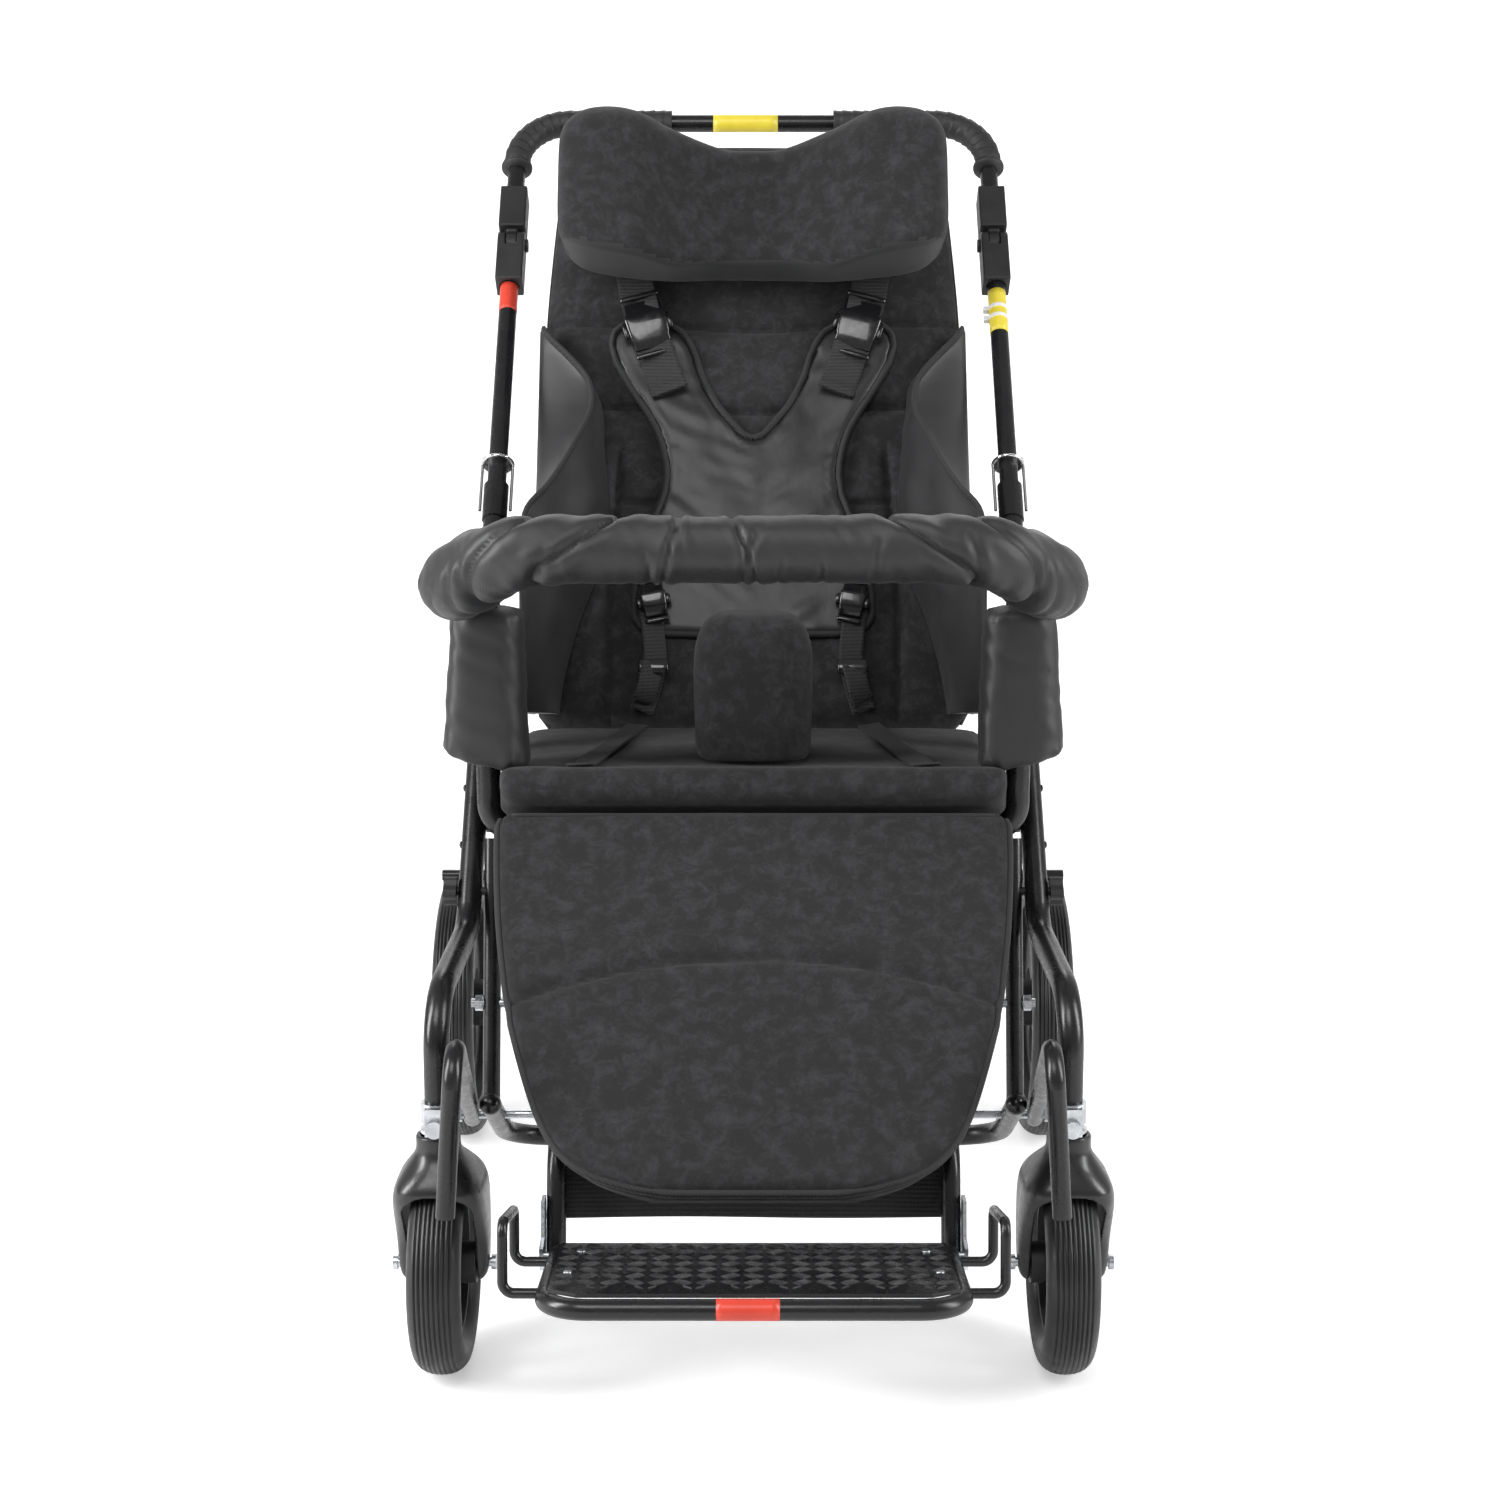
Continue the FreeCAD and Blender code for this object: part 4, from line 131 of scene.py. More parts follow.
# Steel tubes
# The frame is bent round steel tube with a satin black powder coat: side tubes, seat frame,
# struts and legs, posts, guards, handle, backrest, legrest, footplate and brake levers.
def surface_noise(mat, scale, detail=3.0, stretch=(1, 1, 1)):
    """A noise pattern in the object's own space."""
    tree, links, _ = nodes_of(mat)
    place = tree.new("ShaderNodeTexCoord")
    size = tree.new("ShaderNodeMapping")
    size.inputs["Scale"].default_value = stretch
    pattern = tree.new("ShaderNodeTexNoise")
    pattern.inputs["Scale"].default_value = scale
    pattern.inputs["Detail"].default_value = detail
    links.new(place.outputs["Object"], size.inputs["Vector"])
    links.new(size.outputs["Vector"], pattern.inputs["Vector"])
    return pattern.outputs["Fac"]


def spread(mat, source, low, high, start=0.3, end=0.7):
    """Turns a pattern into a colour or value between two limits."""
    tree, links, _ = nodes_of(mat)
    ramp = tree.new("ShaderNodeValToRGB")
    for stop, spot, value in zip(ramp.color_ramp.elements, (start, end), (low, high)):
        stop.position = spot
        stop.color = (*value, 1) if hasattr(value, "__len__") else (value, value, value, 1)
    links.new(source, ramp.inputs["Fac"])
    return ramp.outputs["Color"]


def relief(mat, source, depth, strength=1.0):
    """Raises the surface by a pattern, on top of any relief that it already has."""
    tree, links, shader = nodes_of(mat)
    bump = tree.new("ShaderNodeBump")
    bump.inputs["Distance"].default_value = depth
    bump.inputs["Strength"].default_value = strength
    links.new(source, bump.inputs["Height"])
    if shader.inputs["Normal"].is_linked:
        links.new(shader.inputs["Normal"].links[0].from_socket, bump.inputs["Normal"])
    links.new(bump.outputs["Normal"], shader.inputs["Normal"])


def tint(mat, pattern, low, high, start=0.3, end=0.7):
    """Varies the base colour by a pattern."""
    _, links, shader = nodes_of(mat)
    links.new(spread(mat, pattern, low, high, start, end), shader.inputs["Base Color"])


def shine(mat, pattern, low, high):
    """Varies the roughness by a pattern."""
    _, links, shader = nodes_of(mat)
    links.new(spread(mat, pattern, low, high), shader.inputs["Roughness"])


powder = finish("black_powder_coat", (0.009, 0.009, 0.010), 0.28)
tint(powder, surface_noise(powder, 9), (0.006, 0.006, 0.007), (0.011, 0.011, 0.012))
shine(powder, surface_noise(powder, 60), 0.22, 0.33)
relief(powder, surface_noise(powder, 350, 2), 0.00003, 0.12)


def dress(mat, *names):
    """Gives CAD nodes their finish."""
    for name in names:
        NODES[name].data.materials.clear()
        NODES[name].data.materials.append(mat)


SIDES = (("left", -1), ("right", 1))
dress(powder, "seat_frame", "rear_legs", "lower_frame", "front_guards", "arm_posts", "handlebar")
dress(powder, "bumper_tube", "pommel_stem", "backrest_frame", "legrest_frame", "footplate_frame")
for side, sign in SIDES:
    dress(powder, f"side_tube_{side}", f"handle_leg_{side}", f"brake_{side}")
board = finish("seat_board_panel", (0.02, 0.02, 0.021), 0.6)
relief(board, surface_noise(board, 500, 4), 0.0003, 0.5)
dress(board, "seat_board", "headrest_bracket")

# Bolts, axles and clamps
# Turned and pressed steel with a bluish zinc plating, a little cloudy, duller at the edges.
zinc = finish("zinc_plate", (0.62, 0.64, 0.66), 0.28, 1.0)
tint(zinc, surface_noise(zinc, 70, 5), (0.50, 0.52, 0.55), (0.74, 0.76, 0.78))
shine(zinc, surface_noise(zinc, 240, 3), 0.22, 0.42)
relief(zinc, surface_noise(zinc, 900, 3, (1, 1, 6)), 0.0001, 0.3)
dress(zinc, "stem_housings", "rear_axle", "cross_rods", "frame_bolts", "foot_brackets")
chrome = finish("chrome_wire", (0.82, 0.82, 0.83), 0.08, 1.0)
shine(chrome, surface_noise(chrome, 160), 0.05, 0.16)
for side, sign in SIDES:
    dress(zinc, f"caster_bolts_{side}")
    dress(chrome, f"snap_ring_{side}")

# Moulded plastic
# Rims, knobs, hubs and adjusters are glass-filled nylon, matte with a fine spark texture.
moulded = finish("moulded_nylon", (0.017, 0.017, 0.018), 0.48)
tint(moulded, surface_noise(moulded, 24), (0.013, 0.013, 0.014), (0.023, 0.023, 0.024))
shine(moulded, surface_noise(moulded, 130), 0.42, 0.58)
relief(moulded, surface_noise(moulded, 2600, 2), 0.00012, 0.6)


def melt(piece, voxel, rounds):
    """Rounds a piece's edges as a mould does, and keeps the result as its mesh."""
    net = piece.modifiers.new("net", "REMESH")
    net.mode = "VOXEL"
    net.voxel_size = voxel
    piece.modifiers.new("round", "SMOOTH").iterations = rounds
    bpy.context.view_layer.update()
    shape = piece.evaluated_get(bpy.context.evaluated_depsgraph_get())
    baked = bpy.data.meshes.new_from_object(shape)
    piece.modifiers.clear()
    piece.data = baked
    baked.shade_smooth()


def soften(node, name, body):
    """A moulded copy of a CAD node with rounded edges, which stands for the node."""
    copy = bpy.data.objects.new(name, NODES[node].data.copy())
    bpy.context.scene.collection.objects.link(copy)
    melt(copy, 0.0011, 3)
    copy.data.materials.clear()
    copy.data.materials.append(moulded)
    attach(copy, body)
    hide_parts(node)


for side, sign in SIDES:
    soften(f"adjuster_{side}", f"angle_adjuster_{side}", "handle")
    dress(moulded, f"front_rim_{side}", f"rear_rim_{side}", f"side_knob_{side}")
    dress(moulded, f"adjuster_button_{side}")
soften("adjuster_hubs", "adjuster_covers", "handlebar")

# Tyres
# Solid black rubber, moulded with fine ribs round the tread and a smooth rounded sidewall.
rubber = finish("tyre_rubber", (0.012, 0.012, 0.013), 0.4)
tint(rubber, surface_noise(rubber, 40, 4), (0.009, 0.009, 0.010), (0.018, 0.018, 0.019))
shine(rubber, surface_noise(rubber, 90), 0.30, 0.46)
relief(rubber, surface_noise(rubber, 1500, 3), 0.0001, 0.25)


def loft(name, rings, mat, ends="capped"):
    """A skin through rings of equal length, whose ends are capped, open or joined to each other."""
    around, faces = len(rings[0]), []
    for j in range(len(rings) - (ends != "joined")):
        here, after = j * around, (j + 1) % len(rings) * around
        for n in range(around):
            k = (n + 1) % around
            faces.append((here + n, here + k, after + k, after + n))
    if ends == "capped":
        faces.append(tuple(reversed(range(around))))
        faces.append(tuple((len(rings) - 1) * around + n for n in range(around)))
    return mesh_piece(name, [p for ring in rings for p in ring], faces, mat)


def squared(part, power):
    """Moves a sine or cosine outwards for a power below 1, which makes a round squarer."""
    return math.copysign(abs(part) ** power, part)


def circle(steps, power=1.0):
    """Points round a circle of radius 1, or round a squarer oval for a power below 1."""
    turns = [2 * math.pi * n / steps for n in range(steps)]
    return [(squared(math.cos(a), power), squared(math.sin(a), power)) for a in turns]


def lathe(name, profile, centre, steps, mat):
    """Turns a closed (radius, along) profile round an axis along X."""
    rings = []
    for c, s in circle(steps):
        rings.append([Vector(centre) + Vector((x, r * c, r * s)) for r, x in profile])
    return loft(name, rings, mat, "joined")


def tyre_profile(outer, seat, half, tread, ribs, groove):
    """Half-round tyre section with square ribs cut into its crown."""
    middle = seat + (outer - seat) * 0.42
    pitch = 2 * tread / ribs
    cuts = [-tread + pitch * (n + 1) for n in range(ribs - 1)]
    marks = [-math.cos(math.pi * n / 28) * half for n in range(29)]
    marks = [m for m in marks if all(abs(m - c) > pitch * 0.3 for c in cuts)]
    rows = [(m, 0.0) for m in marks]
    for c in cuts:
        for step, deep in ((-0.22, 0), (-0.14, 1), (0.14, 1), (0.22, 0)):
            rows.append((c + step * pitch, groove * deep))
    section = [(seat + 0.1, -half * 0.6)]
    for x, deep in sorted(rows):
        crown = (1 - min(1, abs(x / half)) ** 2.3) ** 0.5
        section.append((middle + (outer - middle) * crown - deep, x))
    return section + [(seat + 0.1, half * 0.6)]


CASTER_X, CASTER_Y, CASTER_Z = 268, -240, 95
REAR_X, REAR_Y, REAR_Z = 322, 390, 147.5
for side, sign in SIDES:
    lathe_front = lathe(
        f"caster_tyre_{side}",
        tyre_profile(CASTER_Z, 66, 23, 18.5, 9, 1.5),
        (sign * CASTER_X, CASTER_Y, CASTER_Z),
        120,
        rubber,
    )
    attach(lathe_front, f"front_wheel_{side}")
    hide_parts(f"front_tyre_{side}")
    lathe_rear = lathe(
        f"rear_wheel_tyre_{side}",
        tyre_profile(REAR_Z, 116, 22.5, 19, 10, 1.7),
        (sign * REAR_X, REAR_Y, REAR_Z),
        150,
        rubber,
    )
    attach(lathe_rear, f"rear_wheel_{side}")
    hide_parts(f"rear_tyre_{side}")

# Handle grips
# Soft rubber sleeves wrapped in a spiral round the corners of the handlebar, with a flange below.
grip_rubber = finish("grip_rubber", (0.018, 0.018, 0.019), 0.55)
shine(grip_rubber, surface_noise(grip_rubber, 120), 0.48, 0.65)
relief(grip_rubber, surface_noise(grip_rubber, 2200, 2), 0.00015, 0.5)
LEAN = math.radians(39.7)


def up_side(reach, x, off=0.0):
    """A point on the line of the side tubes, in millimetres; off is square to it, to the rear."""
    lean, rise = math.sin(LEAN), math.cos(LEAN)
    return Vector((x, -77 + reach * lean + off * rise, 374 + reach * rise - off * lean))


def bent(points, bends, step):
    """Even points along straight runs joined by arcs."""
    points = [Vector(p) for p in points]
    line = [points[0]]
    for before, corner, after, bend in zip(points, points[1:], points[2:], bends):
        back, ahead = (before - corner).normalized(), (after - corner).normalized()
        turn = math.pi - back.angle(ahead)
        reach = bend * math.tan(turn / 2)
        middle = corner + (back + ahead).normalized() * (bend / math.cos(turn / 2))
        one, two = corner + back * reach - middle, corner + ahead * reach - middle
        count = max(4, int(bend * turn / step))
        for n in range(count + 1):
            spoke = one.slerp(two, n / count)
            line.append(middle + spoke * (bend / spoke.length))
    line.append(points[-1])
    even, carry = [line[0]], 0.0
    for a, b in zip(line, line[1:]):
        span = (b - a).length
        while carry + span >= step and span > 1e-9:
            part = (step - carry) / span
            a = a.lerp(b, part)
            span = (b - a).length
            carry = 0.0
            even.append(a)
        carry += span
    if (even[-1] - line[-1]).length > step * 0.3:
        even.append(line[-1])
    return even


def sleeve(name, line, ring, around, mat, ends="capped"):
    """A closed skin along a line. ring(run, angle) gives how far it stands from the line."""
    rings = []
    ahead = (line[1] - line[0]).normalized()
    up = ahead.orthogonal().normalized()
    if abs(ahead.z) < 0.985:
        up = (Vector((0, 0, 1)) - ahead * ahead.z).normalized()
    run = 0.0
    for n, point in enumerate(line):
        after = line[min(n + 1, len(line) - 1)]
        before = line[max(n - 1, 0)]
        now = (after - before).normalized()
        up = (up - now * up.dot(now)).normalized()
        across = now.cross(up)
        if n:
            run += (point - line[n - 1]).length
        rings.append([])
        for m in range(around):
            a = 2 * math.pi * m / around
            out = ring(run, a)
            reach = out if hasattr(out, "__len__") else (out * math.cos(a), out * math.sin(a))
            rings[-1].append(point + up * reach[0] + across * reach[1])
    return loft(name, rings, mat, ends)


def grip_ring(run, a):
    """A grip's radius: a round flange, a short neck, and then the spiral wrap."""
    if run < 10:
        return 9.8 + 7.2 * max(0.0, 1 - abs(run / 5 - 1) ** 3) ** 0.5
    if run < 13:
        return 13.0
    part = (run / 11.5 + a / (2 * math.pi)) % 1.0
    return 13.5 + 1.1 * part - 0.9 * max(0.0, 1 - part / 0.08)


HANDLE_X = 260
for side, sign in SIDES:
    x = sign * HANDLE_X
    line = bent([up_side(898, x), up_side(969, x), up_side(969, sign * 90)], [58], 1.5)
    grip = sleeve(f"wrapped_grip_{side}", line, grip_ring, 40, grip_rubber)
    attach(grip, "handlebar")
    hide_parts(f"grip_{side}")

# Suede-look cushions: backrest
# The backrest is a board with a foam pad in a mottled charcoal suede cover, sewn into channels
# and closed round its edge by a ribbed black binding tape.
def surface_waves(mat, direction, scale, distortion):
    """A pattern of fine even bands in the object's own space."""
    tree, links, _ = nodes_of(mat)
    place = tree.new("ShaderNodeTexCoord")
    pattern = tree.new("ShaderNodeTexWave")
    pattern.bands_direction = direction
    pattern.inputs["Scale"].default_value = scale
    pattern.inputs["Distortion"].default_value = distortion
    links.new(place.outputs["Object"], pattern.inputs["Vector"])
    return pattern.outputs["Fac"]


suede = finish("charcoal_suede", (0.02, 0.02, 0.021), 0.95, Sheen_Weight=0.06, Sheen_Roughness=0.5)
patches = surface_noise(suede, 58, 15.0)
patches.node.inputs["Roughness"].default_value = 0.78
patches.node.inputs["Distortion"].default_value = 0.35
tint(suede, patches, (0.010, 0.010, 0.011), (0.032, 0.032, 0.035), 0.46, 0.66)
relief(suede, patches, 0.0006, 0.35)
relief(suede, surface_noise(suede, 1500, 2), 0.0003, 0.5)
binding = finish("ribbed_binding", (0.014, 0.014, 0.015), 0.72, Sheen_Weight=0.05)
ribs = surface_waves(binding, "DIAGONAL", 220, 1.5)
relief(binding, ribs, 0.0004, 0.7)
tint(binding, ribs, (0.009, 0.009, 0.010), (0.022, 0.022, 0.023), 0.2, 0.8)
RECLINE = math.radians(25)


def on_back(x, front, up):
    """A point of the backrest: across it, out from its board's plane, and up along it."""
    lean, rise = math.sin(RECLINE), math.cos(RECLINE)
    return Vector((x, 207 + up * lean - front * rise, 457 + up * rise + front * lean))


def smoothstep(low, high, value):
    """Rises smoothly from 0 at low to 1 at high."""
    t = max(0.0, min(1.0, (value - low) / (high - low)))
    return t * t * (3 - 2 * t)


def eased(t, a, b, leaving, arriving):
    """A smooth curve from a to b for t from 0 to 1, with a slope at each end."""
    rise = a * (2 * t**3 - 3 * t**2 + 1) + b * (3 * t**2 - 2 * t**3)
    return rise + leaving * (t**3 - 2 * t**2 + t) + arriving * (t**3 - t**2)


def between(stations, at):
    """Reads a smooth curve through (place, value) stations."""
    if at <= stations[0][0]:
        return stations[0][1]
    if at >= stations[-1][0]:
        return stations[-1][1]
    n = next(k for k in range(len(stations) - 1) if at <= stations[k + 1][0])

    def slope(k):
        one, two = stations[max(k - 1, 0)], stations[min(k + 1, len(stations) - 1)]
        return (two[1] - one[1]) / (two[0] - one[0])

    (a, va), (b, vb) = stations[n], stations[n + 1]
    return eased((at - a) / (b - a), va, vb, slope(n) * (b - a), slope(n + 1) * (b - a))


def bell(off, width):
    """A smooth bump of height 1 round off = 0, for seams, folds and swells."""
    return math.exp(-((off / width) ** 2))


def waver(a, b, c):
    """Smooth noise between about -1 and 1."""
    return noise.noise(Vector((a, b, c)))


def crowded(low, high, count, pull):
    """Places from low to high that crowd together towards both ends, more so for a pull near 1."""
    places = []
    for n in range(count + 1):
        bunch = 0.5 - 0.5 * math.cos(math.pi * n / count)
        places.append(low + (high - low) * (pull * bunch + (1 - pull) * n / count))
    return places


def boxed(name, skins, mat):
    """A closed pad from two grids of points, joined round their rims through rings of side wall."""
    rows, columns = len(skins[0]), len(skins[0][0])
    verts = [p for skin in skins for row in skin for p in row]
    each = rows * columns
    faces = []
    for layer in (0, each * (len(skins) - 1)):
        for j in range(rows - 1):
            for i in range(columns - 1):
                a = layer + j * columns + i
                quad = (a, a + 1, a + columns + 1, a + columns)
                faces.append(quad[::-1] if layer else quad)
    rim = [(0, i) for i in range(columns)] + [(j, columns - 1) for j in range(1, rows)]
    rim += [(rows - 1, i) for i in range(columns - 2, -1, -1)]
    rim += [(j, 0) for j in range(rows - 2, 0, -1)]
    for level in range(len(skins) - 1):
        for (j, i), (k, m) in zip(rim, rim[1:] + rim[:1]):
            a, b = level * each + j * columns + i, level * each + k * columns + m
            faces.append((b, a, a + each, b + each))
    return mesh_piece(name, verts, faces, mat)


BACK_WIDTHS = (
    (24, 204), (44, 219), (150, 221.5), (330, 221.5), (470, 219.5), (560, 214), (620, 208),
    (652, 199), (668, 188), (677, 172), (682, 150),
)
BACK_LOW, BACK_HIGH, BACK_CHANNELS = 24, 682, (363, 457)


def back_face(x, u, edge):
    """How far the face of the backrest stands out, with its two channels and lumbar panel."""
    stand = 38.5 + 3.0 * (1 - (x / 225) ** 2) - 4.5 * smoothstep(560, 660, u)
    for channel in BACK_CHANNELS:
        off = u - channel - 14 * (x / 220) ** 2 - 1.2 * math.sin(x / 31.0 + channel)
        stand -= 4.0 * bell(off, 9.0) + 5.0 * bell(off, 3.0)
        stand += 1.3 * bell(abs(off) - 22, 15)
        pucker = waver(x / 9.0, channel, 0)
        stand += 1.4 * pucker * bell(off, 20.0)
    if u < 330:
        off = abs(x) - 143 - 6 * math.sin(u / 80)
        fade = 1 - smoothstep(305, 335, u)
        stand -= fade * (3.0 * bell(off, 8.0) + 5.0 * bell(off, 3.0))
        stand += 1.2 * fade * waver(u / 10, x / 200, 3) * bell(off, 18)
    if abs(x) < 143:
        off = u - 262
        stand -= 6.0 * bell(off, 3.5) * smoothstep(150, 130, abs(x))
    stand += 1.5 * waver(x / 70, u / 60, 1)
    return 20 + (stand + 13.8 - 20) * edge


skins = []
for skin in (back_face, lambda x, u, edge: 20 - 6.0 * edge):
    grid = []
    for u in crowded(BACK_LOW, BACK_HIGH, 250, 0.35):
        end = min(1.0, min(u - BACK_LOW, BACK_HIGH - u) / 26.0)
        row = []
        for t in crowded(-1, 1, 130, 0.4):
            edge = (1 - abs(t) ** 7) ** 0.5 if abs(t) < 1 else 0.0
            edge *= (1 - (1 - end) ** 2.4) ** 0.5
            x = t * between(BACK_WIDTHS, u)
            row.append(on_back(x, skin(x, u, edge), u))
        grid.append(row)
    skins.append(grid)
back_cushion = boxed("backrest_pad", skins, suede)
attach(back_cushion, "backrest")
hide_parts("backrest_cushion")


def tape_ring(wide, thick):
    """The section of a folded tape: a flat oval."""
    def ring(run, a):
        return wide / 2 * squared(math.cos(a), 0.7), thick / 2 * squared(math.sin(a), 0.7)

    return ring


rim_rows = [(-1, u) for u in range(30, 680, 12)] + [(1, u) for u in range(670, 24, -12)]
edge_line = [on_back(end * (between(BACK_WIDTHS, u) - 3.5), 20, u) for end, u in rim_rows]
back_edge = sleeve("backrest_binding", edge_line, tape_ring(6, 10), 14, binding)
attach(back_edge, "backrest")

# Headrest
# A contoured foam block with two thick forward wings: suede on its face and top, smooth knit
# below, with a seam where they meet. It hangs on a bracket that slides on the backrest.
knit = finish("smooth_knit", (0.02, 0.02, 0.021), 0.8, Sheen_Weight=0.08)
relief(knit, surface_noise(knit, 2400, 2, (1, 1, 3)), 0.0002, 0.6)
tint(knit, surface_noise(knit, 14, 3), (0.019, 0.019, 0.020), (0.025, 0.025, 0.026))


def rounded(corners, step=2.0):
    """A closed outline from (a, b, radius) corners, rounded with arcs."""
    outline = []
    spots = [Vector((a, b)) for a, b, _ in corners]
    for n, (a, b, r) in enumerate(corners):
        here, before, after = spots[n], spots[n - 1], spots[(n + 1) % len(spots)]
        back, ahead = (before - here).normalized(), (after - here).normalized()
        turn = math.pi - back.angle(ahead)
        if r < 0.05 or turn < 0.01:
            outline.append(here)
            continue
        reach = r * math.tan(turn / 2)
        middle = here + (back + ahead).normalized() * (r / math.cos(turn / 2))
        one, two = here + back * reach - middle, here + ahead * reach - middle
        start = math.atan2(one.y, one.x)
        swing = one.angle_signed(two)
        count = max(3, int(r * turn / step))
        for k in range(count + 1):
            spot = start - swing * k / count
            outline.append(middle + Vector((math.cos(spot), math.sin(spot))) * r)
    return outline


def even_ring(outline, count):
    """The same number of evenly spaced points round any closed outline."""
    loop = outline + [outline[0]]
    marks = [0.0]
    for a, b in zip(loop, loop[1:]):
        marks.append(marks[-1] + (b - a).length)
    ring, k = [], 0
    for n in range(count):
        want = marks[-1] * n / count
        while marks[k + 1] < want:
            k += 1
        part = (want - marks[k]) / max(1e-9, marks[k + 1] - marks[k])
        ring.append(loop[k].lerp(loop[k + 1], part))
    return ring


def mirrored(rows):
    """Stations for both sides from those of one, listed from the end to the middle."""
    return tuple((-x, value) for x, value in rows) + tuple((x, value) for x, value in rows[-2::-1])


HEAD_LOW = mirrored(
    ((201, 551), (199, 536), (192, 523), (170, 511), (125, 503), (70, 499.5), (0, 498))
)
HEAD_HIGH = mirrored(
    ((201, 628), (199, 641), (190, 653), (165, 661), (125, 661), (75, 648), (30, 637), (0, 636))
)
HEAD_FRONT = mirrored(
    ((201, 148), (199, 162), (190, 176), (165, 184), (120, 178), (75, 150), (30, 127), (0, 125))
)
HEAD_REAR = mirrored(((201, 100), (199, 88), (190, 78), (175, 71), (0, 70.2)))
rings = []
for x in crowded(-201, 201, 80, 1.0):
    low, high = between(HEAD_LOW, x), between(HEAD_HIGH, x)
    front, rear = between(HEAD_FRONT, x), between(HEAD_REAR, x)
    fit = min(front - rear, high - low)
    lip = 19.0 * smoothstep(125, 160, front)
    outline = rounded(
        [
            (rear, low, min(16, fit * 0.3)),
            (front, low - lip, min(13, fit * 0.3)),
            (front, high, min(44, fit * 0.47)),
            (rear, high, min(26, fit * 0.4)),
        ]
    )
    ring = []
    for v, u in even_ring(outline, 120):
        swell = 1.1 * waver(x / 50, u / 45, v / 60)
        ring.append(on_back(x, v + swell * smoothstep(72, 90, v), u + swell * 0.5))
    rings.append(ring)
headrest = loft("headrest", rings, suede)
headrest.data.materials.append(knit)
down = Vector((0, -math.sin(RECLINE), -math.cos(RECLINE)))
for face in headrest.data.polygons:
    if face.normal.dot(down) > 0.72:
        face.material_index = 1
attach(headrest, "headrest")
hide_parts("headrest_pad")

# Side wings
# Soft twill bolsters along the backrest's edges. An outer sheet stands forward and leans in to a
# bound free edge, and an inner sheet laps back over the backrest. They keep elbows in.
twill = finish(
    "dark_twill_nylon", (0.02, 0.02, 0.022), 0.46, Sheen_Weight=0.06, Sheen_Roughness=0.4
)
lines = surface_waves(twill, "DIAGONAL", 420, 0.6)
tint(twill, lines, (0.014, 0.014, 0.015), (0.024, 0.024, 0.026), 0.2, 0.8)
relief(twill, lines, 0.0002, 0.35)
relief(twill, surface_noise(twill, 30, 3), 0.0012, 0.25)
WING_REACH = (
    (-28, 186), (28, 186), (92, 186), (170, 185), (208, 176), (240, 160), (276, 142),
    (308, 125), (335, 108), (363, 92), (390, 80), (418, 70), (440, 64), (454, 60),
)
WING_EDGE = (
    (-28, 223), (92, 223), (170, 225), (208, 222), (240, 203), (276, 187), (308, 176),
    (335, 168), (363, 166), (390, 173), (418, 193), (440, 212), (454, 221),
)
WING_LAP = (
    (-28, 199), (27, 196), (75, 190), (133, 176), (180, 160), (247, 148), (297, 152), (341, 158),
    (375, 167), (407, 184), (437, 208), (454, 217),
)


def wing_floor(up):
    """How far out the wing starts: it stays above the seat when the backrest is folded upright."""
    return (47 - up * math.cos(RECLINE - math.radians(10))) / math.sin(RECLINE - math.radians(10))


def wing_ring(up, sign):
    """One ring of a side wing: up its outer sheet, round the free edge and down the inner one."""
    rise = wing_floor(up)
    reach, lap = between(WING_REACH, up), between(WING_LAP, up)
    edge = between(WING_EDGE, up)
    fade = smoothstep(454, 400, up)
    ring = []
    for m in range(33):
        out = 16 + (reach - 16) * m / 32
        free = smoothstep(50, 120, out) * fade
        wave = 2.6 * free * waver(up / 55, out / 45, sign)
        wave += 1.4 * free * waver((up + out) / 14, (up - out) / 70, 2 + sign)
        crease = 1.2 * free * math.sin((up * 0.6 + out) / 17.0 + 2 * sign) * smoothstep(60, 200, up)
        turn = smoothstep(50, max(reach, 56), out) ** 1.2
        ring.append((223.4 + 1.2 * (1 - turn) + (edge - 223.5) * turn + wave + crease, out))
    for m in range(29):
        t = m / 28
        out = reach + (56.3 - reach) * t
        x = (edge - 1.8) + (lap - edge + 1.8) * t ** 1.15
        sag = math.sin(math.pi * t) * fade
        x -= sag * (3.0 + 0.05 * (reach - 56))
        x += 3.2 * sag * waver(up / 34, out / 40, 5 + sign)
        fold = math.sin((out * 1.1 - up * 0.5) / 13.0 + sign)
        x += 1.6 * sag * fold * smoothstep(80, 220, up)
        ring.append((x, out))
    for x, out in ((222.6, 56.0), (222.6, 52.0), (222.6, 34.0), (222.6, 18.0)):
        ring.append((max(x, lap) if out > 55 else x, out))
    return [on_back(sign * x, max(out, rise), up) for x, out in ring]


for side, sign in SIDES:
    ups = [-1 + 455 * n / 130 for n in range(131)]
    wing = loft(f"side_wing_{side}", [wing_ring(up, sign) for up in ups], twill)
    edge = [
        on_back(sign * (between(WING_EDGE, up) - 0.4), between(WING_REACH, up), up)
        for up in ups
        if between(WING_REACH, up) > wing_floor(up)
    ][::2]
    bound = sleeve(f"side_wing_binding_{side}", edge, tape_ring(9, 5), 12, binding)
    bound.parent = wing
    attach(wing, "backrest")
    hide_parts("side_wings")

